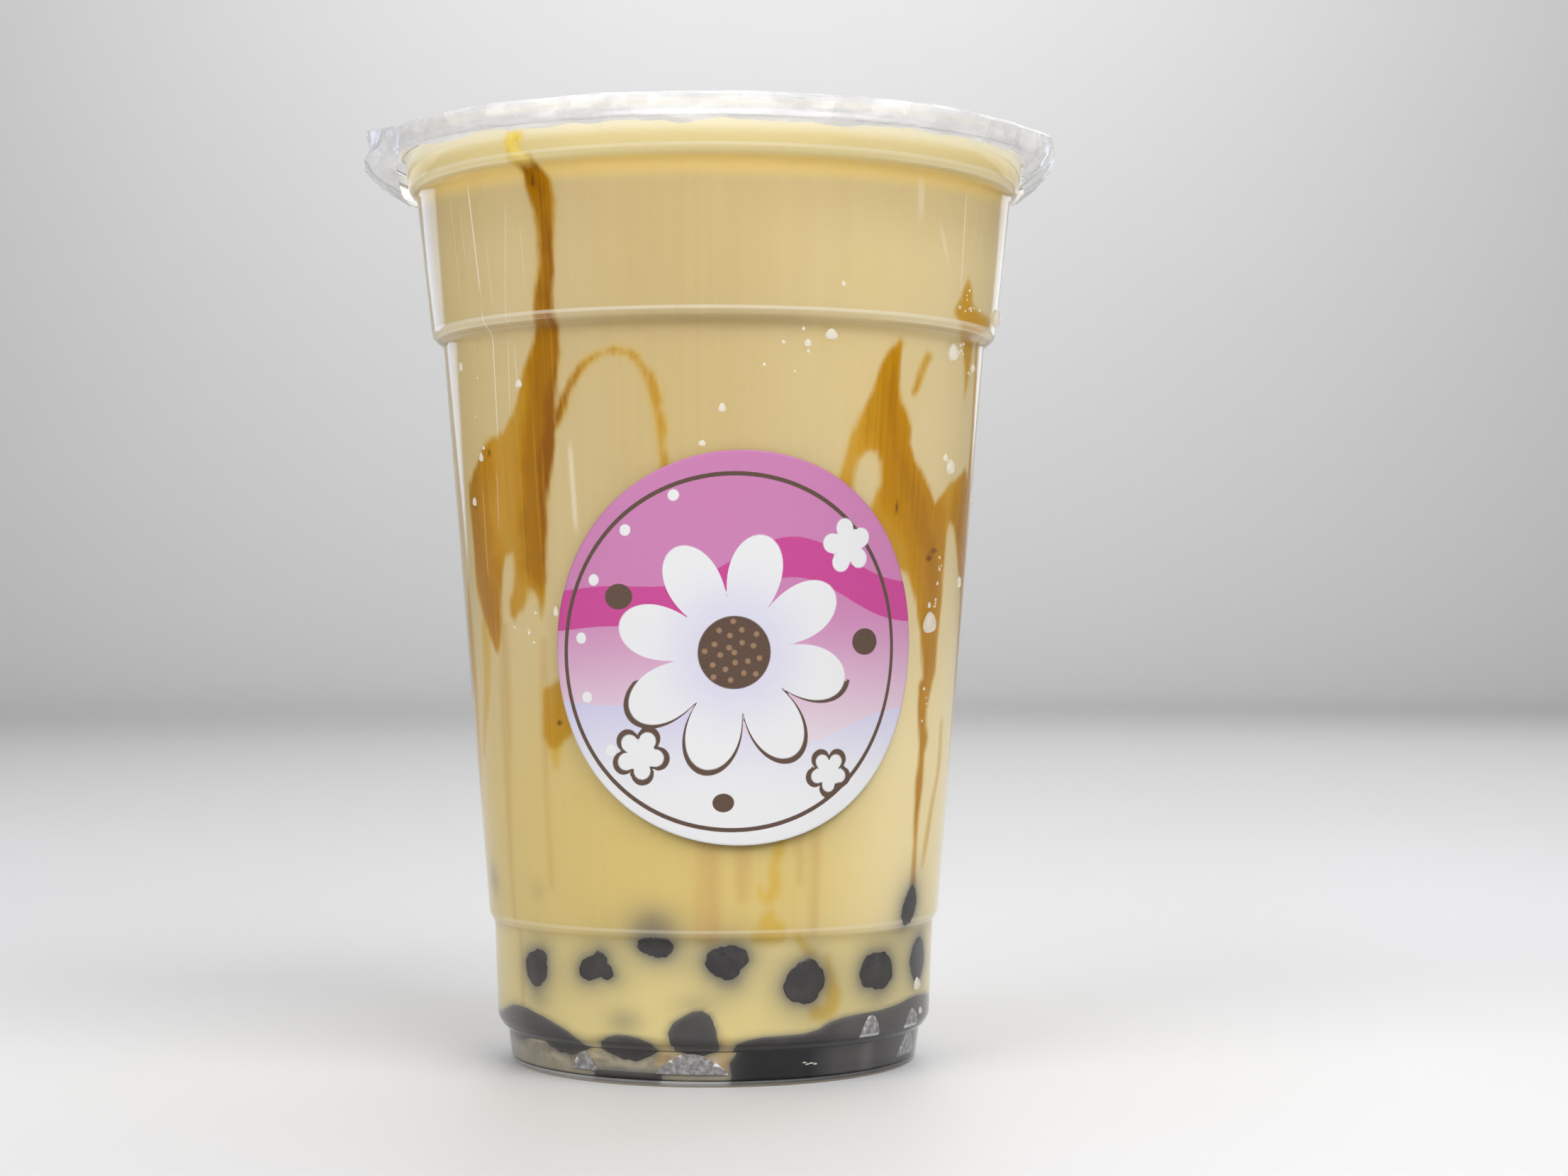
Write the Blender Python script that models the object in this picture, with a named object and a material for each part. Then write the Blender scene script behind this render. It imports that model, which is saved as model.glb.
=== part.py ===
"""Milk tea with tapioca pearls in a clear cup that is sealed with a crinkled film.

Metres, +Z up, the cup's foot on z = 0 and its axis on the Z axis. An azimuth is
counted from the front (-Y) towards +X, in degrees.
"""

import math
import random

import bmesh
import bpy
from mathutils import Vector

# Cup wall, outside, from the foot up
WALL = 0.0009
BASE_RADIUS = 0.0279
STAND_WIDTH = 0.0026
RECESS_DEPTH = 0.0008
BASE_CORNER = 0.0010
CREASE_RADIUS = 0.02875
CREASE_HEIGHT = 0.0048
SHOULDER_ROUND = 0.0016
SHOULDER_RADIUS = 0.03015
SHOULDER_HEIGHT = 0.0067
LOW_STEP = ((0.0306, 0.0193), (0.0313, 0.0205))
MIDDLE_STEP = ((0.0378, 0.0990), (0.0394, 0.1004))
HIGH_STEP = ((0.0415, 0.1193), (0.0426, 0.1205))

# Rolled rim, an upside-down channel
NECK = (0.0430, 0.1232)
RIM_RADIUS = 0.0469
RIM_TOP = 0.1260
RIM_SKIRT_BOTTOM = 0.1232
RIM_CORNER = 0.0007

# Sealing film
FILM_THICKNESS = 0.0003
FILM_GAP = 0.0003
FILM_SKIRT_RADIUS = 0.0486
FILM_SKIRT_BOTTOM = 0.1226
FILM_WAVES = 10
FILM_WAVE_DEPTH = 0.0007
FILM_SIDE_FLARE = 0.0003
FILM_SIDE_DROP = 0.0022

# Contents
GAP = 0.0003
DRINK_LEVEL = 0.1250
BED_TOP = 0.0048
BED_PEARLS = 18
BED_TURN = -5.0
BED_RING_RADIUS = 0.0234
BED_PEARL_RADII = (0.0041, 0.0035)
BED_PEARL_HEIGHTS = (0.0062, 0.0056)

# Pearls that rest against the wall: azimuth, height of the centre, radius
FRONT_PEARLS = (
    (-52, 0.0144, 0.0043),
    (-31, 0.0153, 0.0041),
    (-14, 0.0198, 0.0040),
    (4.5, 0.0164, 0.0042),
    (24.5, 0.0140, 0.0044),
    (47, 0.0143, 0.0043),
    (69, 0.0147, 0.0041),
    (60, 0.0228, 0.0041),
)
BACK_PEARLS = 9
BACK_START = 95.0
BACK_PITCH = 20.5
BACK_HEIGHTS = (0.0146, 0.0172)

# Round sticker
LABEL_RADIUS = 0.0254
LABEL_AZIMUTH = 7.4
LABEL_HEIGHT = 0.0573
LABEL_THICKNESS = 0.0003
LABEL_RINGS = 5
LABEL_SIDES = 26

# Facets
CUP_SIDES = 48
FILM_SIDES = 60
DRINK_SIDES = 48
BED_SIDES = 32
ARC_STEPS = 3
PEARL_SUBDIVISIONS = 2

MERGE = 1e-7


def remove_everything():
    for item in list(bpy.data.objects):
        bpy.data.objects.remove(item, do_unlink=True)


def make_material(name, colour, roughness, transmission=0.0):
    material = bpy.data.materials.new(name)
    material.use_nodes = True
    shader = material.node_tree.nodes["Principled BSDF"]
    shader.inputs["Base Color"].default_value = (*colour, 1.0)
    shader.inputs["Roughness"].default_value = roughness
    shader.inputs["Metallic"].default_value = 0.0
    shader.inputs["Transmission Weight"].default_value = transmission
    return material


def add_object(name, mesh, material, smooth_angle=40.0):
    mesh.shade_smooth()
    mesh.set_sharp_from_angle(angle=math.radians(smooth_angle))
    mesh.materials.append(material)
    item = bpy.data.objects.new(name, mesh)
    bpy.context.collection.objects.link(item)
    return item


def finish_mesh(name, shape):
    """Merge doubled points, turn the faces outwards and hand over a mesh."""
    bmesh.ops.remove_doubles(shape, verts=shape.verts, dist=MERGE)
    bmesh.ops.recalc_face_normals(shape, faces=shape.faces)
    mesh = bpy.data.meshes.new(name)
    shape.to_mesh(mesh)
    shape.free()
    return mesh


def turned_mesh(name, outline, sides):
    """Spin an outline of (radius, height) points once round the Z axis, which closes it."""
    shape = bmesh.new()
    points = [shape.verts.new((radius, 0.0, height)) for radius, height in outline]
    edges = [shape.edges.new(pair) for pair in zip(points, points[1:])]
    bmesh.ops.spin(shape, geom=points + edges, cent=(0, 0, 0), axis=(0, 0, 1),
                   angle=2 * math.pi, steps=sides, use_merge=True)
    return finish_mesh(name, shape)


def arc(centre, radius, start, end, steps=ARC_STEPS):
    """Points of a round corner between two angles in degrees, from +radius to +height."""
    angles = [math.radians(start + (end - start) * step / steps) for step in range(steps + 1)]
    return [(centre[0] + radius * math.cos(angle), centre[1] + radius * math.sin(angle))
            for angle in angles]


def wall_outline(round_base=True):
    """The cup's outer surface from the middle of its foot up to the neck."""
    stand_inside = BASE_RADIUS - STAND_WIDTH
    outline = [(0.0, RECESS_DEPTH), (stand_inside - 1.5 * RECESS_DEPTH, RECESS_DEPTH), (stand_inside, 0.0)]
    if round_base:
        outline += arc((BASE_RADIUS - 0.5 * BASE_CORNER, BASE_CORNER), BASE_CORNER, -90, -10, 2)
    else:
        outline.append((BASE_RADIUS + 0.5 * BASE_CORNER, 0.0))
    outline.append((CREASE_RADIUS, CREASE_HEIGHT))
    outline += arc((SHOULDER_RADIUS - SHOULDER_ROUND, SHOULDER_HEIGHT), SHOULDER_ROUND, -60, 0)
    outline += [*LOW_STEP, *MIDDLE_STEP, *HIGH_STEP, NECK]
    return outline


def inside_outline(distance):
    """The wall's outline moved into the cup, with mitred corners and a plain base corner."""
    outline = wall_outline(round_base=False)
    moved = []
    for index, point in enumerate(outline):
        here = Vector(point)
        before = here - Vector(outline[index - 1]) if index else None
        after = Vector(outline[index + 1]) - here if index + 1 < len(outline) else None
        normals = [Vector((-way.y, way.x)).normalized() for way in (before, after) if way]
        middle = sum(normals, Vector((0, 0))).normalized()
        moved.append(tuple(here + middle * distance / middle.dot(normals[0])))
    return moved


def radius_at(outline, height):
    """The radius where an outline that rises crosses a height."""
    for (radius_low, low), (radius_high, high) in zip(outline, outline[1:]):
        if low <= height < high:
            return radius_low + (radius_high - radius_low) * (height - low) / (high - low)
    return outline[-1][0]


def stretch(outline, low, high):
    """The rising part of an outline between two heights, with points on both."""
    side = outline[2:]
    between = [point for point in side if low < point[1] < high]
    return [(radius_at(side, low), low), *between, (radius_at(side, high), high)]


def rim_outline():
    """The rolled rim, from the neck outside, over the top, to the neck inside."""
    under_top = RIM_TOP - WALL
    inside = NECK[0] - WALL
    outline = [(NECK[0] + 0.2 * WALL, under_top),
               (RIM_RADIUS - WALL, under_top),
               (RIM_RADIUS - WALL, RIM_SKIRT_BOTTOM),
               (RIM_RADIUS, RIM_SKIRT_BOTTOM)]
    outline += arc((RIM_RADIUS - RIM_CORNER, RIM_TOP - RIM_CORNER), RIM_CORNER, 0, 90, 2)
    outline += arc((inside + WALL, RIM_TOP - WALL), WALL, 90, 180, 2)
    return outline


def make_cup(material):
    outside = wall_outline()
    inside = inside_outline(WALL)
    outline = outside + rim_outline() + inside[::-1]
    return add_object("cup", turned_mesh("cup", outline, CUP_SIDES), material)


def film_outline():
    """Flat over the rim, then down round it in a flared skirt; the inner side runs back."""
    top = RIM_TOP + FILM_GAP + FILM_THICKNESS
    over_rim = RIM_RADIUS + FILM_GAP + FILM_THICKNESS
    outer = [(0.0, top), (0.0440, top), (RIM_RADIUS, top - 0.00005), (over_rim + 0.0001, top - 0.0006),
             (over_rim + 0.0006, top - 0.0020), (FILM_SKIRT_RADIUS, top - 0.0030),
             (FILM_SKIRT_RADIUS - 0.0006, FILM_SKIRT_BOTTOM)]
    inner = [(max(radius - 0.9 * FILM_THICKNESS * (index > 2), 0.0),
              height - FILM_THICKNESS * (1.0 if index < 4 else 0.2))
             for index, (radius, height) in enumerate(outer)]
    return outer + inner[::-1]


def crinkle(mesh):
    """Waves round the skirt, which also flares and drops a little more at both sides."""
    start = RIM_TOP + FILM_GAP
    for point in mesh.vertices:
        share = min(max((start - point.co.z) / (start - FILM_SKIRT_BOTTOM), 0.0), 1.0)
        azimuth = math.atan2(point.co.x, -point.co.y)
        side = (1.0 - math.cos(2 * azimuth)) / 2
        radius = math.hypot(point.co.x, point.co.y)
        if radius < RIM_RADIUS:
            continue
        wave = FILM_WAVE_DEPTH * (0.5 + 0.5 * math.cos(FILM_WAVES * azimuth))
        grown = 1.0 + share * (wave + FILM_SIDE_FLARE * side) / radius
        drop = share * share * FILM_SIDE_DROP * side
        point.co = (point.co.x * grown, point.co.y * grown, point.co.z - drop)


def make_film(material):
    mesh = turned_mesh("film", film_outline(), FILM_SIDES)
    crinkle(mesh)
    return add_object("film", mesh, material)


def place(azimuth, radius, height):
    angle = math.radians(azimuth)
    return Vector((radius * math.sin(angle), -radius * math.cos(angle), height))


def ball(name, centre, radius, outwards, material=None):
    """A pearl whose mesh has one point straight out towards the wall."""
    shape = bmesh.new()
    bmesh.ops.create_icosphere(shape, subdivisions=PEARL_SUBDIVISIONS, radius=radius)
    mesh = bpy.data.meshes.new(name)
    shape.to_mesh(mesh)
    shape.free()
    item = add_object(name, mesh, material or bpy.data.materials["pearl"], 80.0)
    item.location = centre
    item.rotation_mode = "QUATERNION"
    item.rotation_quaternion = outwards.to_track_quat("Z", "Y")
    return item


def wall_pearls():
    """Azimuth, height and radius of every pearl that rests against the wall."""
    draw = random.Random(7)
    back = [(BACK_START + BACK_PITCH * step,
             BACK_HEIGHTS[step % 2] + draw.uniform(0.0, 0.0012),
             draw.uniform(0.0040, 0.0043))
            for step in range(BACK_PEARLS)]
    return [*FRONT_PEARLS, *back]


def pearl_places():
    """Azimuth, centre and radius: each pearl stops one gap short of the wall."""
    inside = inside_outline(WALL + GAP)[2:]
    places = []
    for azimuth, height, radius in wall_pearls():
        reach = min(radius_at(inside, height + share * radius) + radius * (1 - math.sqrt(1 - share * share))
                    for share in (-0.6, -0.3, 0.0, 0.3, 0.6))
        places.append((azimuth, place(azimuth, reach - radius, height), radius))
    return places


def bed_places():
    """The ring of pearls in the foot, thick and thin by turns."""
    places = []
    for index in range(BED_PEARLS):
        azimuth = BED_TURN + 360.0 * index / BED_PEARLS
        radius = BED_PEARL_RADII[index % 2]
        centre = place(azimuth, BED_RING_RADIUS, BED_PEARL_HEIGHTS[index % 2])
        places.append((azimuth, centre, radius))
    return places


def combine(target, items, operation):
    """Apply one Boolean with a collection of closed shapes, then remove them."""
    group = bpy.data.collections.new("tools")
    bpy.context.scene.collection.children.link(group)
    for item in items:
        for holder in list(item.users_collection):
            holder.objects.unlink(item)
        group.objects.link(item)
    boolean = target.modifiers.new("combine", "BOOLEAN")
    boolean.operation = operation
    boolean.operand_type = "COLLECTION"
    boolean.collection = group
    boolean.solver = "EXACT"
    evaluated = target.evaluated_get(bpy.context.evaluated_depsgraph_get())
    mesh = bpy.data.meshes.new_from_object(evaluated)
    target.modifiers.remove(boolean)
    target.data = mesh
    for item in items:
        bpy.data.objects.remove(item, do_unlink=True)
    bpy.data.collections.remove(group)


def make_bed(material):
    """One dark mass: a low disc that fills the foot, with the ring of pearls fused on."""
    hollow = inside_outline(WALL + GAP)
    floor = hollow[:2]
    side = [point for point in hollow[2:] if point[1] < BED_TOP]
    outline = [*floor, *side, (radius_at(hollow[2:], BED_TOP), BED_TOP), (0.0, BED_TOP)]
    bed = add_object("pearl_bed", turned_mesh("pearl_bed", outline, BED_SIDES), material)
    ring = [ball("bed_ball", centre, radius, place(azimuth, 1.0, 0.0))
            for azimuth, centre, radius in bed_places()]
    combine(bed, ring, "UNION")
    return bed


def make_drink(material):
    """The tea from the bed up to its level, cut round every pearl."""
    inside = inside_outline(WALL + GAP)
    bottom = BED_TOP + GAP
    side = stretch(inside, bottom, DRINK_LEVEL)
    outline = [(0.0, bottom), *side, (0.0, DRINK_LEVEL)]
    drink = add_object("milk_tea", turned_mesh("milk_tea", outline, DRINK_SIDES), material)
    cutters = [ball("cutter", centre, radius + GAP, place(azimuth, 1.0, 0.0))
               for azimuth, centre, radius in pearl_places() + bed_places()]
    combine(drink, cutters, "DIFFERENCE")
    return drink


def make_pearls():
    for index, (azimuth, centre, radius) in enumerate(pearl_places(), 1):
        ball(f"pearl_{index:02d}", centre, radius, place(azimuth, 1.0, 0.0))


def label_point(wall, across, up, offset):
    """A point of the sticker, wrapped round the tapering wall."""
    height = LABEL_HEIGHT + up
    radius = radius_at(wall, height)
    azimuth = LABEL_AZIMUTH + math.degrees(across / radius)
    return place(azimuth, radius + offset, height)


def make_label(material):
    """A round skin just off the wall: rings of points, front and back, and a thin edge."""
    wall = wall_outline()[2:]
    shape = bmesh.new()
    layers = []
    for offset in (GAP, GAP + LABEL_THICKNESS):
        rings = [[shape.verts.new(label_point(wall, 0.0, 0.0, offset))]]
        for ring in range(1, LABEL_RINGS + 1):
            radius = LABEL_RADIUS * ring / LABEL_RINGS
            turns = [2 * math.pi * side / LABEL_SIDES for side in range(LABEL_SIDES)]
            rings.append([shape.verts.new(label_point(wall, radius * math.cos(turn),
                                                      radius * math.sin(turn), offset))
                          for turn in turns])
        layers.append(rings)
    for rings in layers:
        for side in range(LABEL_SIDES):
            following = (side + 1) % LABEL_SIDES
            shape.faces.new((rings[0][0], rings[1][side], rings[1][following]))
            for inner, outer in zip(rings[1:], rings[2:]):
                shape.faces.new((inner[side], outer[side], outer[following], inner[following]))
    back, front = layers[0][-1], layers[1][-1]
    for side in range(LABEL_SIDES):
        following = (side + 1) % LABEL_SIDES
        shape.faces.new((back[side], front[side], front[following], back[following]))
    bmesh.ops.triangulate(shape, faces=shape.faces)
    return add_object("label", finish_mesh("label", shape), material)


def main():
    remove_everything()
    make_material("pearl", (0.030, 0.026, 0.026), 0.30)
    make_cup(make_material("clear_cup", (0.95, 0.95, 0.95), 0.08, transmission=1.0))
    make_film(make_material("clear_film", (0.97, 0.97, 0.98), 0.12, transmission=1.0))
    make_bed(make_material("pearl_bed", (0.030, 0.027, 0.028), 0.35))
    make_drink(make_material("milk_tea", (0.63, 0.46, 0.21), 0.25))
    make_pearls()
    make_label(make_material("label", (0.70, 0.42, 0.62), 0.40))


main()
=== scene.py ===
"""Looks of a sealed milk tea: clear stepped cup, crinkled film, drink, pearls and sticker.

Shapes are worked out in millimetres and become metres when a mesh is made. Azimuths are
in degrees, counted from the front (-Y) towards +X. Every surface is a grid of points:
its rows run along a profile and its columns run round the cup, from the back to the back.
"""

import math

import bpy
import numpy as np
from mathutils import Matrix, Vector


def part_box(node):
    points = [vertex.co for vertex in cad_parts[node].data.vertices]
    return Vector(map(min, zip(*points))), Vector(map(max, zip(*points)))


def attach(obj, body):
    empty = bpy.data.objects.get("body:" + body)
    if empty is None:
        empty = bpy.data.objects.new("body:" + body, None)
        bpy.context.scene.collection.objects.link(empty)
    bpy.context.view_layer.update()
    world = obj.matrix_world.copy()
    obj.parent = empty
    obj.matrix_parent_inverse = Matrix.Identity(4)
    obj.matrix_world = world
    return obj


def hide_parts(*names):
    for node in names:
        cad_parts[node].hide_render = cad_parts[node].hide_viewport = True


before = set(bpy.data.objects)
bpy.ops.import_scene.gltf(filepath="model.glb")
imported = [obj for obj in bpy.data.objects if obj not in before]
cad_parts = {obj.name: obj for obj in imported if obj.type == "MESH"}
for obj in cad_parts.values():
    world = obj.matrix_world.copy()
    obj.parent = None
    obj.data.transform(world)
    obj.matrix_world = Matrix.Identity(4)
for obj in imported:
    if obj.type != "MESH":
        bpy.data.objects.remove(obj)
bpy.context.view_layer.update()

MM = 0.001

# Cup wall, outside, from the foot up: (radius, height), and how far each corner is rounded
WALL = 0.9
FOOT = ((0.0, 0.8), (24.1, 0.8), (25.3, 0.0), (28.1, 0.0))
CREASE = (28.75, 4.8)
SHOULDER = ((29.45, 5.15), (30.10, 6.3))
LOW_STEP = ((30.6, 19.3), (31.3, 20.4))
MIDDLE_STEP = ((37.8, 98.9), (39.35, 100.2))
HIGH_STEP = ((41.5, 119.3), (42.6, 120.4))
NECK = (43.0, 123.2)
MOUTH = (43.15, 126.2)
CORNER = 0.45

# Rolled rim
RIM_RADIUS = 46.9
RIM_TOP = 126.0
RIM_BOTTOM = 123.6

# Drink: it and the pearls reach a hair into the wall, so no gap shows through the plastic
INTO_WALL = 0.04
PEARL_INTO_WALL = 0.08
DRINK_LEVEL = 125.3
ROW_PITCH = 0.52
DRINK_COLUMNS = 376
CUP_COLUMNS = 288
WALL_AROUND = 226.0
FAR = 9.0


def smoothed(points, steps=5, closed=False):
    """A Catmull-Rom curve through the points: a weighted sum of four neighbours at each step."""
    points = [tuple(map(float, point)) for point in points]
    ends = (points[-1:], points[:2]) if closed else (points[:1], points[-1:])
    run = np.array(ends[0] + points + ends[1])
    share = (np.arange(steps) / steps)[None, :, None]
    before, here, ahead, after = (run[first:len(run) - 3 + first, None] for first in range(4))
    curve = here + 0.5 * share * (ahead - before + share * (2 * before - 5 * here + 4 * ahead - after
                                                            + share * (3 * (here - ahead) + after - before)))
    curve = curve.reshape(-1, run.shape[1])
    return [tuple(point) for point in (curve if closed else np.vstack([curve, points[-1:]]))]


# Outlines of brown sugar syrup on the inside of the wall: azimuth, height
SYRUP_AREAS = {
    "left_run": ((-37.4, 123.6), (-38.0, 122.6), (-37.6, 121.5), (-37.5, 120.4), (-36.1, 119.4),
        (-35.4, 118.4), (-35.1, 116.9), (-34.3, 115.7), (-33.6, 113.6), (-33.3, 110.2), (-33.4, 107.2),
        (-34.0, 105.0), (-34.9, 102.8), (-35.6, 100.2), (-37.4, 97.8), (-38.9, 95.9), (-40.6, 93.9),
        (-42.0, 91.8), (-43.6, 90.0), (-45.4, 88.0), (-48.8, 85.8), (-51.9, 85.2), (-55.1, 84.9),
        (-58.3, 83.2), (-62.7, 80.9), (-66.0, 79.2), (-66.5, 77.1), (-66.4, 73.9), (-66.1, 71.5),
        (-66.3, 69.1), (-66.2, 66.7), (-65.7, 64.9), (-64.2, 62.5), (-61.7, 60.3), (-59.9, 58.6),
        (-57.9, 56.9), (-56.8, 56.9), (-55.1, 58.6), (-54.2, 61.1), (-53.9, 64.2), (-52.4, 67.3),
        (-50.9, 69.3), (-48.0, 70.0), (-47.7, 67.3), (-48.5, 65.4), (-50.2, 63.6), (-50.3, 61.7),
        (-48.9, 61.1), (-46.5, 62.2), (-44.3, 63.6), (-43.2, 65.3), (-41.9, 64.7), (-40.7, 63.6),
        (-40.1, 61.4), (-38.9, 63.4), (-38.1, 66.5), (-37.3, 71.1), (-36.8, 73.4), (-36.3, 76.4),
        (-35.4, 79.1), (-34.5, 81.8), (-33.6, 84.4), (-33.1, 87.1), (-32.5, 91.6), (-31.6, 93.7),
        (-31.2, 95.6), (-31.4, 97.5), (-30.9, 99.7), (-31.0, 101.1), (-30.6, 104.9), (-29.9, 108.6),
        (-29.3, 113.0), (-29.0, 115.0), (-29.3, 117.1), (-30.9, 118.5), (-32.1, 119.8), (-32.7, 120.7),
        (-34.9, 121.3), (-35.2, 122.0), (-34.3, 122.7), (-34.1, 123.4), (-34.9, 123.7)),
    "left_patch": ((-40.9, 51.7), (-37.6, 52.6), (-34.0, 53.5), (-31.5, 53.0), (-30.5, 50.0),
        (-30.8, 47.5), (-33.0, 46.0), (-35.0, 45.3), (-37.7, 44.2), (-40.0, 44.4), (-41.5, 46.1)),
    "right_peak": ((42.4, 97.8), (39.2, 95.9), (37.5, 93.9), (35.2, 90.1), (34.0, 88.7), (32.6, 87.6),
        (31.6, 85.9), (30.5, 84.0), (29.3, 81.9), (28.3, 79.7), (27.6, 76.5), (31.5, 75.0), (31.9, 80.4),
        (33.0, 82.1), (35.1, 83.2), (37.3, 82.9), (38.7, 81.5), (39.0, 78.8), (36.5, 75.5), (37.0, 72.5),
        (39.0, 70.0), (42.0, 68.6), (45.2, 67.6), (48.3, 67.3), (51.2, 65.0), (53.0, 62.6), (54.7, 59.9),
        (56.1, 57.1), (56.9, 54.7), (58.1, 52.0), (60.2, 49.2), (62.0, 51.9), (63.1, 54.7), (63.4, 57.9),
        (64.1, 61.1), (64.0, 64.3), (63.7, 67.4), (64.0, 70.6), (63.9, 73.0), (64.9, 74.2), (67.6, 73.9),
        (70.7, 71.5), (73.5, 68.3), (77.9, 65.1), (82.4, 68.4), (81.8, 71.7), (79.1, 75.8), (76.2, 80.1),
        (73.3, 81.7), (69.0, 80.5), (64.5, 79.6), (60.6, 78.1), (57.5, 76.5), (55.1, 78.4), (52.0, 80.2),
        (49.0, 82.1), (46.9, 84.4), (47.1, 86.3), (45.8, 88.0), (43.6, 89.7), (42.5, 91.7), (42.3, 94.1),
        (42.5, 96.0), (43.2, 97.4)),
    "slash": ((51.2, 96.4), (52.1, 95.9), (50.6, 94.1), (49.0, 91.7), (47.3, 90.6), (46.7, 91.0),
        (47.9, 92.8), (48.9, 94.8), (50.1, 96.0)),
    "right_top": ((60.4, 106.6), (61.8, 105.4), (63.0, 103.4), (66.1, 102.6), (72.3, 102.3), (76.2, 101.8),
        (72.4, 100.7), (67.2, 99.6), (71.0, 98.7), (69.2, 92.5), (68.3, 91.4), (67.2, 95.3), (65.2, 98.0),
        (61.9, 99.4), (58.7, 100.6), (56.2, 101.7), (56.1, 102.6), (57.9, 103.7), (59.1, 105.4)),
    "back_peak": smoothed(((-128, 110), (-129.5, 102), (-134, 93), (-139.5, 85), (-139, 78), (-134, 74),
        (-133, 66), (-130, 56), (-127.5, 64), (-128, 72), (-124.5, 74), (-121, 68), (-118.5, 76),
        (-120, 86), (-124, 94), (-126.5, 102)), closed=True),
}
# Strokes of the same syrup: azimuth, height, half width
SYRUP_STROKES = {
    "loop": ((-34, 85.5, 0.4), (-31.5, 88.5, 0.7), (-30, 90.4, 0.45), (-26, 93.8, 0.4), (-22, 95.2, 0.25),
        (-18.5, 95.6, 0.25), (-15, 94.9, 0.4), (-13.5, 93.8, 0.25), (-12, 92.3, 0.6), (-10.6, 89.5, 0.65),
        (-10.4, 88.0, 0.4), (-9.4, 86, 0.65), (-9.2, 83.5, 0.4), (-8.4, 80.5, 0.6), (-8, 77, 0.5)),
    "right_line": ((58, 52, 1.1), (58.8, 46.9, 0.9), (59.8, 44.9, 1.2), (59.5, 42.9, 0.8), (59.6, 39, 0.8),
        (59.2, 35, 0.6), (59.5, 31, 0.5), (60, 25, 0.4)),
    "left_side": ((-73, 66, 0.2), (-74.5, 61, 0.9), (-75.5, 52, 1.0), (-77, 44, 0.7), (-79, 36, 0.3)),
    "right_side": ((74, 99, 0.5), (77, 88, 0.7), (78, 80, 1.2), (80.5, 66, 1.1), (81.5, 55, 0.7),
        (82, 44, 0.4)),
    "back_run": ((152, 118, 0.8), (155, 108, 1.3), (152, 97, 1.9), (146, 87, 3.6), (142, 78, 4.6),
        (143, 70, 2.6), (141, 62, 1.7), (142, 53, 0.5)),
    "back_finger": ((145, 82, 3.0), (151, 76, 2.2), (153, 69, 0.9), (152, 63, 0.4)),
    "back_loop": ((179, 86, 0.2), (183, 93, 0.45), (188, 97.5, 0.3), (194, 95.5, 0.35), (197, 90, 0.5),
        (198, 83, 0.35), (198, 78, 0.6)),
}
# Where the syrup is thickest and darkest
SYRUP_CORES = {
    "top": ((-35, 119.5, 0.7), (-34, 118, 0.9), (-32, 116.4, 0.9), (-31, 112, 0.5), (-31, 104, 0.7),
        (-32, 98, 1.0)),
    "run": ((-32, 98, 0.8), (-33.5, 90, 1.2), (-35, 82, 1.7), (-36.5, 75, 1.6), (-38, 69, 0.7)),
    "finger": ((-60, 82, 1.0), (-63.5, 77, 1.6), (-63, 70, 2.2), (-60, 64, 2.2), (-57.5, 59, 0.7)),
    "peak": ((41, 94, 0.2), (41, 88, 0.6), (43, 83, 1.1), (50, 77, 1.6), (57, 70, 1.6), (60, 62, 0.9),
        (59, 52, 0.4)),
    "side": ((76, 79, 0.8), (72, 73, 1.0), (80, 69, 0.8), (82, 50, 0.4)),
    "line": ((58.5, 48, 0.3), (59.8, 44.9, 0.6), (59.5, 36, 0.1)),
    "back": ((150, 92, 0.8), (143, 80, 2.0)),
    "back_peak": ((-133, 84, 2.0), (-129, 72, 1.2)),
}
# Small dark flecks in the syrup: azimuth, height, half width, half height
FLECKS = ((56.5, 69.3, 0.7, 0.5), (58.3, 70.3, 0.9, 0.4), (44.0, 75.8, 0.3, 0.9), (-33.3, 117.6, 0.4, 0.9),
    (-36.3, 47.5, 0.45, 0.35), (-54.5, 83.3, 0.35, 0.5), (-63.5, 76.4, 0.3, 0.5), (145, 84, 0.7, 0.5))
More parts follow.
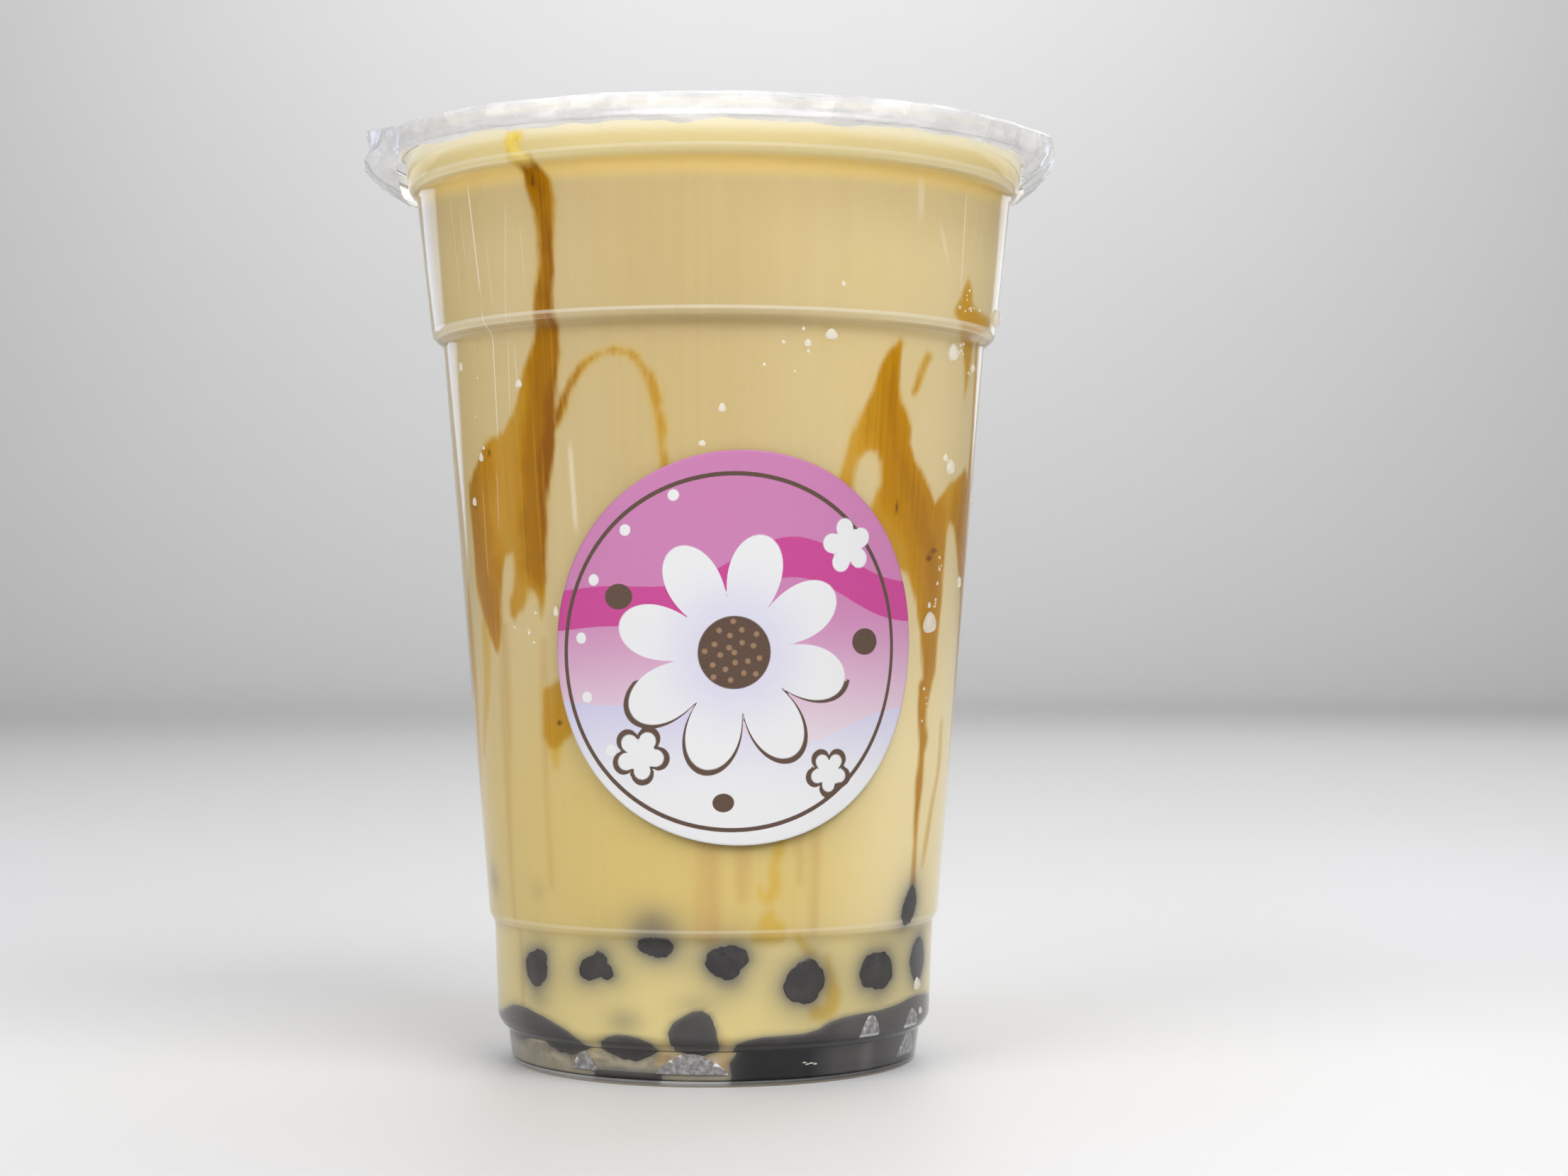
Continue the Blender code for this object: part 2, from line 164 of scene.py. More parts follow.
# Soft stains that are weaker than the syrup: azimuth, height, half width
STAINS = {
    "left_olive": ((-63, 60, 1.3), (-63.4, 55.6, 1.3), (-64.4, 52, 1.1), (-67.7, 47.3, 0.9),
        (-71, 43, 0.5)),
    "left_edge": ((-72, 60, 0.4), (-73, 55, 0.9), (-74, 50, 0.9), (-75, 44, 0.7), (-77, 38, 0.4)),
    "left_patch": ((-33, 52, 1.0), (-34, 49, 2.0), (-38, 46, 1.6), (-38, 42, 0.4)),
    "curl": ((17.2, 32.5, 0.45), (16.4, 30.6, 0.6), (15.8, 29.2, 0.5), (15.9, 28, 0.65),
        (16.3, 26.8, 0.65), (15.6, 25.7, 0.75), (14.4, 24.8, 0.6), (12.9, 25.3, 0.4), (12.0, 26.2, 0.2)),
    "golden_patch": ((15, 23, 0.4), (14.5, 21.4, 1.2), (17, 20.3, 1.2), (12.5, 20.0, 0.9)),
    "to_pearl": ((22.3, 20, 0.5), (24.2, 18.5, 0.5), (26.4, 17.2, 0.5)),
    "wedge": ((31, 16.6, 0.4), (32.2, 13.5, 0.9), (33, 11, 1.3), (31, 9.6, 1.1), (28, 9.6, 0.9)),
    "right_branch": ((70, 47, 0.6), (70.5, 40.6, 0.7), (68.1, 36.7, 0.8), (66.3, 32.7, 0.7),
        (64.5, 28, 0.5)),
    "right_edge": ((82, 62, 0.8), (82.5, 50, 0.7), (82, 40, 0.3)),
    "side_back": ((120, 58, 0.1), (118.5, 52, 0.9), (116, 44, 1.5), (115, 36, 0.7), (113.5, 30, 1.1),
        (112, 24, 0.2)),
    "rear": ((-131, 56, 0.6), (-132, 50, 1.5), (-134, 44, 0.9), (-133, 38, 1.2), (-135, 31, 0.2)),
}
# Upright bands where a little syrup clouds the tea: azimuth, height, half width
BANDS = {
    "pink": ((-53.5, 60, 0.8), (-54.5, 54, 1.3), (-55.4, 48, 1.3), (-56.4, 42, 1.0), (-57.4, 36, 0.8),
        (-58.5, 28, 0.5), (-58.2, 20, 0.35), (-57.6, 14, 0.45), (-58.5, 7, 0.4)),
    "gold": ((-39.9, 58, 0.4), (-41.1, 47, 0.5), (-41.7, 39.7, 0.35), (-41.8, 26, 0.25)),
    "under_a": ((0, 34, 1.3), (0, 27, 1.6), (0, 20.5, 1.8)),
    "under_b": ((8.2, 33, 0.6), (8.2, 29, 0.9), (8.3, 25, 0.6)),
    "under_c": ((21.4, 34, 0.7), (21.8, 30.5, 0.5), (22.2, 27, 0.4)),
    "under_d": ((25.7, 33, 0.8), (26.2, 27, 0.5), (26.3, 20.5, 0.5)),
    "heel": ((3.8, 6.2, 0.7), (4.2, 4.6, 0.9), (4.2, 2.6, 0.9)),
    "gap": ((-32.0, 6.0, 0.1), (-33.0, 4.6, 0.1), (-33.4, 3.3, 0.2)),
    "gap_right": ((-11.8, 5.6, 0.5), (-12, 4.5, 0.6), (-13, 3.3, 0.7), (-10.5, 3.3, 0.3),
        (-13.5, 1.9, 0.3)),
    "left_silhouette": ((-80, 64, 0.2), (-84, 56, 1.4), (-84, 40, 1.6), (-85, 27, 0.9)),
    "right_silhouette": ((86, 95, 0.9), (86, 60, 1.1), (86, 30, 0.9)),
    "back": ((142, 54, 0.4), (142, 46, 1.3), (140, 38, 0.8), (141, 30, 0.9), (140, 23, 0.1)),
}
# Painted highlights on the tea, pale upright lines where the lamps glint in the wall: azimuth and height
# of both ends, half width in degrees, strength
GLINT_LINES = ((-51.0, 119.0, -49.9, 103.0, 0.14, 0.8), (-49.9, 103.0, -50.8, 84.0, 0.12, 0.8),
    (-40.3, 116.0, -43.4, 98.0, 0.10, 0.4), (-43.4, 98.0, -43.0, 90.0, 0.10, 0.6),
    (-45.0, 99.0, -46.2, 87.0, 0.10, 0.5), (-54.5, 117.0, -53.9, 106.0, 0.07, 0.35),
    (-37.4, 113.0, -37.0, 103.0, 0.07, 0.3), (-47.0, 112.0, -46.2, 101.0, 0.30, 0.14),
    (-57.6, 118.5, -57.4, 101.5, 0.10, 0.25), (-29.9, 85.0, -29.2, 71.5, 0.45, 0.42),
    (56.0, 118.6, 57.6, 104.0, 0.14, 0.6), (42.4, 119.5, 43.4, 112.0, 0.60, 0.3),
    (48.0, 114.0, 53.0, 107.0, 0.45, 0.3), (63.5, 117.0, 64.3, 109.0, 0.08, 0.4),
    (-58.5, 80.0, -59.2, 66.0, 0.10, 0.35), (-52.0, 82.0, -52.8, 72.0, 0.12, 0.35),
    (130.0, 118.0, 132.0, 92.0, 0.14, 0.6), (-100.0, 117.0, -101.0, 90.0, 0.14, 0.6),
    (-140.0, 116.0, -141.0, 103.0, 0.10, 0.5), (170.0, 95.0, 171.0, 74.0, 0.20, 0.5))

# Pearls: the face that each front one presses on the wall, as azimuth, height and the distance
# from there to its outline at every 20 degrees, from the right upwards and round
PEARL_FACES = {
    1: (-50.6, 14.6,
        (2.2, 2.3, 2.9, 2.8, 2.5, 2.2, 2.2, 2.5, 2.6, 2.6, 2.5, 2.5, 2.4, 2.6, 2.4, 2.2, 2.2, 2.3)),
    2: (-29.8, 15.5,
        (2.3, 1.9, 2.1, 2.2, 2.1, 1.6, 1.5, 1.8, 2.1, 2.5, 2.7, 2.5, 2.0, 1.6, 1.3, 1.4, 2.3, 2.8)),
    3: (-13.3, 18.6,
        (2.3, 2.2, 1.7, 1.35, 1.2, 1.2, 1.4, 1.8, 2.2, 2.4, 2.0, 1.5, 1.3, 1.3, 1.4, 1.6, 1.9, 2.2)),
    4: (4.5, 16.7,
        (2.8, 2.9, 2.6, 2.3, 2.1, 1.9, 2.0, 2.4, 2.6, 2.7, 2.6, 2.4, 2.2, 2.3, 2.4, 2.4, 2.1, 2.2)),
    5: (24.8, 13.7,
        (2.9, 2.9, 2.8, 3.0, 3.1, 2.7, 2.5, 2.5, 2.6, 2.8, 3.1, 3.0, 2.9, 2.7, 2.9, 2.9, 2.6, 2.7)),
    6: (47.8, 14.4,
        (3.2, 3.0, 2.8, 2.6, 2.3, 2.3, 2.6, 2.9, 3.0, 3.2, 3.3, 3.1, 2.5, 2.4, 2.6, 2.9, 3.1, 3.4)),
    7: (68.3, 14.7,
        (2.7, 2.6, 2.7, 2.9, 3.1, 3.0, 2.8, 2.6, 2.6, 2.7, 2.6, 2.6, 2.8, 2.9, 2.8, 2.7, 2.5, 2.6)),
    8: (58.9, 22.5,
        (1.8, 2.0, 2.2, 2.5, 3.0, 2.2, 1.7, 1.5, 1.5, 1.6, 1.9, 2.2, 2.4, 2.4, 2.2, 1.9, 1.8, 1.7)),
}
FACE_ELSEWHERE = 2.6
FOG_NEAR = 0.85
FOG_REACH = 1.6
PEARL_ROWS = 38
PEARL_COLUMNS = 64
# Grey fog of pearls that lie deeper in the tea: azimuth, height, half width, half height, strength
FOGS = ((-13.5, 21.3, 3.2, 2.6, 0.55), (-71, 25.5, 2.2, 2.4, 0.45), (-47, 25.2, 1.6, 1.4, 0.16),
    (-22, 8.6, 2.6, 1.9, 0.45), (5.5, 14.2, 2.2, 2.0, 0.30), (-3, 11.0, 3.6, 1.6, 0.30),
    (-50, 10.5, 2.4, 1.2, 0.25), (47.5, 10.6, 2.2, 1.2, 0.20), (112, 22.0, 3.4, 2.6, 0.5),
    (-118, 23.0, 3.2, 2.6, 0.5), (160, 21.0, 3.4, 2.4, 0.5))

# The dark bed in the foot: its outlines on the wall, and milky windows at the back
BED_AREAS = {
    "left": ((-80, 7.0), (-74, 7.4), (-68, 8.3), (-64, 8.8), (-60, 9.0), (-56, 8.9), (-52, 8.5),
        (-48, 8.1), (-44, 7.5), (-40, 6.8), (-37, 6.0), (-34.5, 5.3), (-33.5, 4.8), (-35, 4.3), (-38, 3.8),
        (-41, 3.3), (-43, 3.6), (-45, 3.4), (-47, 3.9), (-49.5, 4.1), (-51, 4.7), (-53, 5.1), (-56, 5.0),
        (-59, 4.8), (-63, 4.2), (-67, 3.9), (-80, 3.7)),
    "lens": ((-30.5, 5.1), (-29.4, 5.8), (-27, 6.4), (-24, 6.8), (-21, 6.8), (-18, 6.5), (-15, 6.0),
        (-13.3, 5.3), (-13.9, 4.7), (-15.6, 4.1), (-17.5, 3.7), (-20, 3.2), (-22, 3.5), (-23.5, 3.4),
        (-26, 3.9), (-28.6, 4.3)),
    "pearl": ((-9.8, 6.0), (-10.3, 7.3), (-9.0, 8.6), (-6.8, 9.4), (-4, 10.2), (-1.4, 10.3), (0.6, 9.6),
        (1.7, 8.0), (2.2, 6.6), (3.0, 5.5), (1.4, 4.8), (-0.6, 4.4), (-2.8, 3.9), (-5, 4.2), (-6.6, 4.7),
        (-8.8, 5.2)),
    "strip": ((-33, 1.9), (-13, 1.9), (-13, -1.0), (-33, -1.0)),
    "right": ((128, 6.6), (137, 7.4), (146, 8.7), (156, 8.9), (168, 7.9), (180, 8.0), (-168, 6.6),
        (-157, 6.2), (-148, 7.6), (-140, 8.5), (-131, 7.6), (-122, 6.4), (-112, 7.6), (-101, 8.8),
        (-88, 8.0), (-79, 7.0), (-77, 3.0), (-80, -1.0), (180, -1.0), (70, -1.0), (6.8, -1.0), (5.6, 3.2),
        (6.6, 3.9), (7.6, 4.6), (6.3, 5.3), (7.2, 6.0), (10, 6.4), (14, 6.7), (20, 6.8), (25, 6.9),
        (29, 7.3), (32, 8.1), (36, 8.6), (42, 8.8), (50, 9.0), (57, 9.3), (62, 9.7), (68, 9.9), (76, 9.6),
        (86, 8.4), (95, 7.4), (104, 8.3), (112, 9.3), (120, 8.2)),
}
BED_WINDOWS = ((118, 3.4, 6.0, 1.5), (168, 3.2, 5.0, 1.6), (-150, 3.0, 6.0, 1.4))
# How grey the bed looks by azimuth, where tea lies thinly over it
BED_GREYS = ((-180, 0.2), (-90, 0.2), (-72, 0.6), (-60, 0.45), (-50, 0.2), (8, 0.1), (12, 0.0), (28, 0.0),
    (36, 0.45), (44, 0.55), (48, 0.95), (52, 0.45), (62, 0.55), (76, 0.8), (100, 0.2), (180, 0.2))
# Painted light in the foot's standing ring by azimuth: how pale the ring looks
RING_LIGHT_GREYS = ((-180, 0.10), (-92, 0.10), (-84, 0.24), (-64, 0.32), (-38, 0.30), (-33.5, 0.26),
    (-32.5, 0.16), (-13.5, 0.14), (-12.5, 0.34), (5, 0.32), (6, 0.10), (30, 0.08), (70, 0.12), (180, 0.10))
BED_SLOPE = 0.45
BED_DEEPEST = 2.6
BED_PROUD = 0.12
BED_ROUND_TOP = 13.0
BED_MIDDLE = 8.5
BED_COLUMNS = 460

# Air caught at the wall of the foot: azimuth, height of its flat base, half width, height
BUBBLES = ((-36.2, 0.75, 2.1, 3.1), (-4.7, 0.75, 4.9, 3.5), (46.0, 5.55, 1.8, 2.7), (65.5, 5.75, 2.0, 2.3),
    (70.0, 0.75, 3.2, 3.9), (128, 0.75, 2.6, 3.2), (-118, 0.75, 3.6, 3.4))

# Water drops on the outside: azimuth, height, half width, half height. The last four, small and flat low on
# the foot, are painted glints.
DROPS = ((20, 96.4, 0.5, 0.5), (25, 97.6, 0.9, 0.7), (59.2, 96.6, 1.3, 1.2), (80, 102.4, 1.6, 1.3),
    (62, 81.4, 1.1, 1.0), (59.6, 82.6, 0.7, 0.5), (57.5, 60.4, 1.5, 1.45), (3, 88.0, 0.5, 0.6),
    (-1, 83.5, 0.5, 0.4), (84, 77.4, 0.6, 0.5), (71, 95.2, 0.7, 0.6), (-42, 91.8, 0.6, 0.55),
    (-62, 76.8, 0.5, 0.6), (-57, 82.6, 0.5, 0.6), (57, 62.9, 0.35, 0.4), (66.5, 11.4, 0.9, 0.9),
    (70, 7.6, 0.5, 0.5), (-64, 95, 0.5, 0.6), (-35, 62, 0.4, 0.7), (74, 66, 0.6, 0.8),
    (26, 104, 0.3, 0.35), (26.0, 2.95, 0.3, 0.10), (26.9, 2.7, 0.3, 0.10), (28.0, 2.8, 0.35, 0.10),
    (29.2, 2.65, 0.3, 0.12))
# Tiny drops scattered round a few places: azimuth, height, spread across, spread up, how many
SPRAYS = ((60, 103.0, 6.0, 2.5, 10), (60, 66.0, 2.0, 6.0, 9), (66, 96.5, 6.0, 2.0, 7),
    (58, 49.0, 1.6, 4.0, 4), (-44, 60.0, 5.0, 5.0, 6), (-58, 90.0, 3.0, 6.0, 4), (12, 96.0, 8.0, 6.0, 5),
    (140, 92.0, 12.0, 10.0, 8), (-120, 84.0, 12.0, 12.0, 8))

# Sticker
STICKER_RADIUS = 25.4
STICKER_AZIMUTH = 7.4
STICKER_HEIGHT = 57.3
STICKER_LIFT = 0.03
STICKER_THICKNESS = 0.14

# Film
FILM_THICKNESS = 0.07
FILM_COLUMNS = 720
FILM_ROWS = 92
FILM_SEAL_ROW = 22
# Radius and height from its middle out, over the rim and down: at the front and back, and at each side
FILM_FRONT = ((3.0, 126.3), (24.0, 126.3), (40.0, 126.4), (44.5, 126.6), (46.2, 126.75), (47.05, 126.6),
    (47.35, 126.2), (47.45, 125.6), (47.5, 125.0), (47.5, 124.3), (47.35, 123.6), (46.95, 123.0))
FILM_LEFT = ((3.0, 126.3), (24.0, 126.4), (40.0, 126.8), (44.5, 127.3), (46.8, 127.6), (48.5, 127.8),
    (48.1, 126.6), (48.0, 125.2), (48.8, 123.7), (47.5, 122.3), (45.2, 120.9), (43.6, 119.9))
FILM_RIGHT = ((3.0, 126.3), (24.0, 126.3), (40.0, 126.5), (44.5, 126.7), (46.4, 126.8), (47.6, 126.9),
    (47.6, 126.8), (47.7, 125.4), (47.3, 124.0), (46.2, 122.6), (44.5, 121.4), (43.5, 120.6))

# Camera, from the ellipses of rim, steps and foot in a frame of 2212 x 1659 pixels
CAMERA_PLACE = (0.0098, -0.3935, 0.061)
CAMERA_LENS = 64.3
CAMERA_UP_TILT = 0.65
# What the lamps aim at, in metres
CUP_MIDDLE = 0.065


# Outlines

def mitred(points, distance):
    """An outline moved to its left by a distance, its corners kept sharp."""
    points = np.asarray(points, float)
    ways = np.diff(points, axis=0)
    ways /= np.linalg.norm(ways, axis=1)[:, None]
    normals = np.stack([-ways[:, 1], ways[:, 0]], 1)
    before = np.vstack([normals[:1], normals])
    middle = before + np.vstack([normals, normals[-1:]])
    middle /= np.linalg.norm(middle, axis=1)[:, None]
    return points + middle * (distance / (middle * before).sum(1))[:, None]


def rounded(points, reach, steps=5):
    """Each inner corner becomes a parabola that leaves the line a reach before and after it."""
    points = np.asarray(points, float)
    corner = points[1:-1]
    back, ahead = points[:-2] - corner, points[2:] - corner
    lengths = [np.linalg.norm(way, axis=1)[:, None] for way in (back, ahead)]
    start = corner + back / lengths[0] * np.minimum(reach, 0.45 * lengths[0])
    end = corner + ahead / lengths[1] * np.minimum(reach, 0.45 * lengths[1])
    share = np.linspace(0, 1, steps + 1)[None, :, None]
    curves = ((1 - share) ** 2 * start[:, None] + 2 * share * (1 - share) * corner[:, None]
              + share**2 * end[:, None])
    return np.vstack([points[:1], curves.reshape(-1, 2), points[-1:]])


def spaced(points, pitch):
    """The outline with points added so that no step along it is longer than a pitch."""
    points = np.asarray(points, float)
    run = np.concatenate([[0], np.cumsum(np.linalg.norm(np.diff(points, axis=0), axis=1))])
    added = np.arange(0, run[-1], pitch)
    places = np.unique(np.concatenate([run, added]).round(4))
    keep = np.concatenate([[True], np.diff(places) > 0.2 * pitch])
    places = places[keep]
    return np.stack([np.interp(places, run, points[:, axis]) for axis in (0, 1)], 1)


def wall_corners():
    return [*FOOT, CREASE, *SHOULDER, *LOW_STEP, *MIDDLE_STEP, *HIGH_STEP, NECK]


def wall_side(inwards):
    """Radius and height of the wall above the foot's corner, moved inwards."""
    return rounded(mitred(wall_corners(), inwards), CORNER)[4:]


def wall_radius(height, inwards=0.0):
    side = wall_side(inwards)
    side = side[side[:, 1] > 0.3 + inwards * 0.9]
    return np.interp(height, side[:, 1], side[:, 0])


# Grids and meshes

def azimuths(columns):
    """One azimuth for each column, from the back round the front to the back."""
    return -180.0 + 360.0 * np.arange(columns) / columns


def polar(radius, azimuth, height):
    """Points from radius, azimuth and height."""
    angle = np.radians(azimuth)
    return np.stack(np.broadcast_arrays(radius * np.sin(angle), -radius * np.cos(angle), height), -1)


def turned(profile, columns):
    """A profile of (radius, height) carried round the cup's axis."""
    return polar(profile[:, :1], azimuths(columns)[None, :], profile[:, 1:])


def add_mesh(name, vertices, faces, material):
    """Make one smooth object from points in millimetres and the faces between them."""
    mesh = bpy.data.meshes.new(name)
    mesh.from_pydata((vertices * MM).tolist(), [], faces)
    mesh.shade_smooth()
    mesh.materials.append(material)
    piece = bpy.data.objects.new(name, mesh)
    bpy.context.scene.collection.objects.link(piece)
    return piece


def add_piece(name, points, material, wrap=True, ring=False, start=None, end=None, fields=None, layout=None):
    """Make one object from a grid of points in millimetres, faces on the left of its rows.

    start and end are points that close the first and the last row, and a ring's last row meets
    its first. fields are numbers for each point, and layout gives each corner its place in the UV map.
    """
    rows, columns = points.shape[:2]
    index = np.arange(rows * columns).reshape(rows, columns)
    across = np.arange(columns if wrap else columns - 1)
    ahead = (across + 1) % columns
    here, above = (index, np.roll(index, -1, axis=0)) if ring else (index[:-1], index[1:])
    quads = np.stack([here[:, across], here[:, ahead], above[:, ahead], above[:, across]], -1)
    faces = quads.reshape(-1, 4).tolist()
    vertices = points.reshape(-1, 3)
    poles = []
    if start is not None:
        pole = len(vertices) + len(poles)
        faces += np.stack([np.full(len(across), pole), index[0][ahead], index[0][across]], -1).tolist()
        poles.append(start)
    if end is not None:
        pole = len(vertices) + len(poles)
        faces += np.stack([index[-1][across], index[-1][ahead], np.full(len(across), pole)], -1).tolist()
        poles.append(end)
    if poles:
        vertices = np.vstack([vertices, poles])
    piece = add_mesh(name, vertices, faces, material)
    mesh = piece.data
    for field, values in (fields or {}).items():
        ends = [values[0].mean()] * (start is not None) + [values[-1].mean()] * (end is not None)
        numbers = np.concatenate([np.broadcast_to(values, (rows, columns)).ravel(), ends])
        mesh.attributes.new(field, "FLOAT", "POINT").data.foreach_set("value", numbers.astype(np.float32))
    if layout is not None:
        lay_out(mesh, layout, across, start is not None, end is not None)
    return piece


def lay_out(mesh, layout, across, has_start, has_end):
    """Fill the UV map from a grid that has one more column than a closed surface."""
    corners = np.stack([layout[:-1][:, across], layout[:-1][:, across + 1],
                        layout[1:][:, across + 1], layout[1:][:, across]], 2).reshape(-1, 2)
    parts = [corners]
    if has_start:
        edge = layout[0]
        middle = (edge[across] + edge[across + 1]) / 2
        parts.append(np.stack([middle, edge[across + 1], edge[across]], 1).reshape(-1, 2))
    if has_end:
        edge = layout[-1]
        middle = (edge[across] + edge[across + 1]) / 2
        parts.append(np.stack([edge[across], edge[across + 1], middle], 1).reshape(-1, 2))
    uv_map = mesh.uv_layers.new(name="wall")
    uv_map.data.foreach_set("uv", np.vstack(parts).ravel().astype(np.float32))


def wall_layout(profile, columns):
    """UV: once round the cup across, and 226 mm (the mean way round) is as much upwards."""
    across = np.arange(columns + 1) / columns
    run = np.concatenate([[0], np.cumsum(np.linalg.norm(np.diff(profile, axis=0), axis=1))]) / WALL_AROUND
    return np.stack(np.broadcast_arrays(across[None, :], run[:, None]), -1)


# Fields on the wall

def turn_between(azimuth, middle):
    return (azimuth - middle + 180.0) % 360.0 - 180.0


def stroke_distance(azimuth, height, radius, strokes):
    """Distance in mm from tapering strokes: to the nearest point of a line, less its half width there."""
    nearest = np.full(np.broadcast(azimuth, height).shape, 99.0)
    for stroke in strokes.values():
        stroke = smoothed(stroke, 3)
        for (turn_a, low_a, half_a), (turn_b, low_b, half_b) in zip(stroke, stroke[1:]):
            to_mm = np.radians(1.0) * radius
            across, up = turn_between(azimuth, turn_a) * to_mm, height - low_a
            way_across, way_up = turn_between(turn_b, turn_a) * to_mm, low_b - low_a
            share = np.clip((across * way_across + up * way_up) / (way_across**2 + way_up**2), 0, 1)
            gap = np.hypot(across - share * way_across, up - share * way_up)
            nearest = np.minimum(nearest, gap - (half_a + share * (half_b - half_a)))
    return nearest


def area_distance(azimuth, height, radius, areas):
    """Distance in mm from closed outlines, negative inside: the nearest side, and an even-odd count."""
    nearest = np.full(np.broadcast(azimuth, height).shape, 99.0)
    to_mm = np.radians(1.0) * radius
    for area in areas.values():
        middle = area[0][0]
        here = turn_between(azimuth, middle) * to_mm
        corners = [(turn_between(turn, middle) * to_mm, level) for turn, level in area]
        gap = np.full(nearest.shape, 99.0)
        inside = np.zeros(nearest.shape, bool)
        for (side_a, low_a), (side_b, low_b) in zip(corners, corners[1:] + corners[:1]):
            across, up = here - side_a, height - low_a
            way_across, way_up = side_b - side_a, low_b - low_a
            share = np.clip((across * way_across + up * way_up) / (way_across**2 + way_up**2), 0, 1)
            gap = np.minimum(gap, np.hypot(across - share * way_across, up - share * way_up))
            crossed = (height > low_a) != (height > low_b)
            rise = up / np.where(crossed, way_up, 1.0)
            inside ^= crossed & (across < rise * way_across)
        nearest = np.minimum(nearest, np.where(inside, -gap, gap))
    return nearest


def blob_distance(azimuth, height, radius, blobs):
    """Rough distance in mm inside ellipses (positive) or outside them (negative)."""
    best = np.full(np.broadcast(azimuth, height).shape, -99.0)
    for turn, middle, half_across, half_up in blobs:
        across = turn_between(azimuth, turn) * np.radians(1.0) * radius / half_across
        up = (height - middle) / half_up
        best = np.maximum(best, (1.0 - np.hypot(across, up)) * min(half_across, half_up))
    return best


def bed_touch(azimuth, height, radius):
    """How far inside the dark bed's outlines on the wall a point is; negative is outside."""
    inside = -area_distance(azimuth, height, radius, BED_AREAS)
    return np.minimum(inside, -blob_distance(azimuth, height, radius, BED_WINDOWS))


def pearl_facts():
    """For each pearl of the frame: its node, azimuth, height and radius."""
    facts = {}
    for node in sorted(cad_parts):
        if node.startswith("pearl_") and node != "pearl_bed":
            low, high = (np.array(corner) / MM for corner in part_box(node))
            middle = (low + high) / 2
            facts[node] = (math.degrees(math.atan2(middle[0], -middle[1])), middle[2], (high - low).max() / 2)
    return facts


PEARLS = pearl_facts()


def pearl_face(node):
    """Azimuth and height of a pearl's pressed face, and the turns and distances of its outline."""
    azimuth, height, radius = PEARLS[node]
    number = int(node.split("_")[1])
    turns = np.arange(0, 360, 20)
    if number in PEARL_FACES:
        azimuth, height, edge = PEARL_FACES[number]
        return azimuth, height, turns, np.array(edge)
    draw = np.random.default_rng(40 + number)
    bends = draw.uniform(0, 6.28, 3)
    edge = FACE_ELSEWHERE + draw.uniform(-0.5, 0.6) + 0.3 * np.sin(np.radians(turns) + bends[0])
    edge += 0.22 * np.sin(np.radians(2 * turns) + bends[1]) + 0.15 * np.sin(np.radians(3 * turns) + bends[2])
    return azimuth, height, turns, edge


def pearl_fog(azimuth, height, radius):
    """Grey fog in the tea: strong at each pressed face's outline, and gone some mm from it."""
    fog = np.zeros(np.broadcast(azimuth, height).shape)
    for node in PEARLS:
        turn, middle, turns, edge = pearl_face(node)
        across = turn_between(azimuth, turn) * np.radians(1.0) * radius
        up = height - middle
        angle = np.degrees(np.arctan2(up, across)) % 360.0
        beyond = np.hypot(across, up) - np.interp(angle, turns, edge, period=360)
        fog = 1 - (1 - fog) * (1 - FOG_NEAR * np.exp(-np.clip(beyond, 0, None) / FOG_REACH))
    for turn, middle, half_across, half_up, strength in FOGS:
        across = turn_between(azimuth, turn) * np.radians(1.0) * radius / half_across
        fog = 1 - (1 - fog) * (1 - strength * np.exp(-(across**2 + ((height - middle) / half_up) ** 2)))
    return fog


# Shader helpers

def new_material(name):
    """An empty material: its node tree and its output."""
    material = bpy.data.materials.new(name)
    material.use_nodes = True
    material.node_tree.nodes.clear()
    return material, material.node_tree


def put(tree, kind, values=None, **settings):
    """Add a node; values go to its inputs by name or number, as a socket to link or a plain value."""
    node = tree.nodes.new(kind)
    for setting, value in settings.items():
        setattr(node, setting, value)
    return fed(tree, node, values or {})


def fed(tree, node, values):
    for socket, value in values.items():
        if isinstance(value, bpy.types.NodeSocket):
            tree.links.new(value, node.inputs[socket])
        elif isinstance(value, tuple) and len(value) == 3 and node.inputs[socket].type == "RGBA":
            node.inputs[socket].default_value = (*value, 1.0)
        else:
            node.inputs[socket].default_value = value
    return node


def reckon(tree, operation, first, second=0.0):
    return put(tree, "ShaderNodeMath", {0: first, 1: second}, operation=operation).outputs[0]


def times(tree, first, second):
    return reckon(tree, "MULTIPLY", first, second)


def plus(tree, first, second):
    return reckon(tree, "ADD", first, second)


def blend(tree, share, first, second):
    return put(tree, "ShaderNodeMix", {0: share, 6: first, 7: second}, data_type="RGBA",
               clamp_factor=True).outputs[2]


def coats(tree, colour, *rows):
    """Tones laid over a colour in turn: a value, where it starts and ends, the most it covers, the tone."""
    for value, low, high, most, tone in rows:
        colour = blend(tree, ramp(tree, value, low, high, 0.0, most), colour, tone)
    return colour


def ramp(tree, value, low, high, start=0.0, end=1.0, smooth=True):
    """start up to low, end from high on, and a smooth way between them."""
    return put(tree, "ShaderNodeMapRange", {0: value, 1: low, 2: high, 3: start, 4: end},
               interpolation_type="SMOOTHSTEP" if smooth else "LINEAR").outputs[0]


def field(tree, name):
    return put(tree, "ShaderNodeAttribute", attribute_name=name).outputs["Fac"]


def noise(tree, vector, scale, detail=3.0, roughness=0.5):
    return put(tree, "ShaderNodeTexNoise", {"Vector": vector, "Scale": scale, "Detail": detail,
                                            "Roughness": roughness}).outputs[0]


def object_place(tree):
    return put(tree, "ShaderNodeTexCoord").outputs["Object"]


def scaled(tree, vector, scale):
    return put(tree, "ShaderNodeMapping", {"Vector": vector, "Scale": scale}).outputs[0]


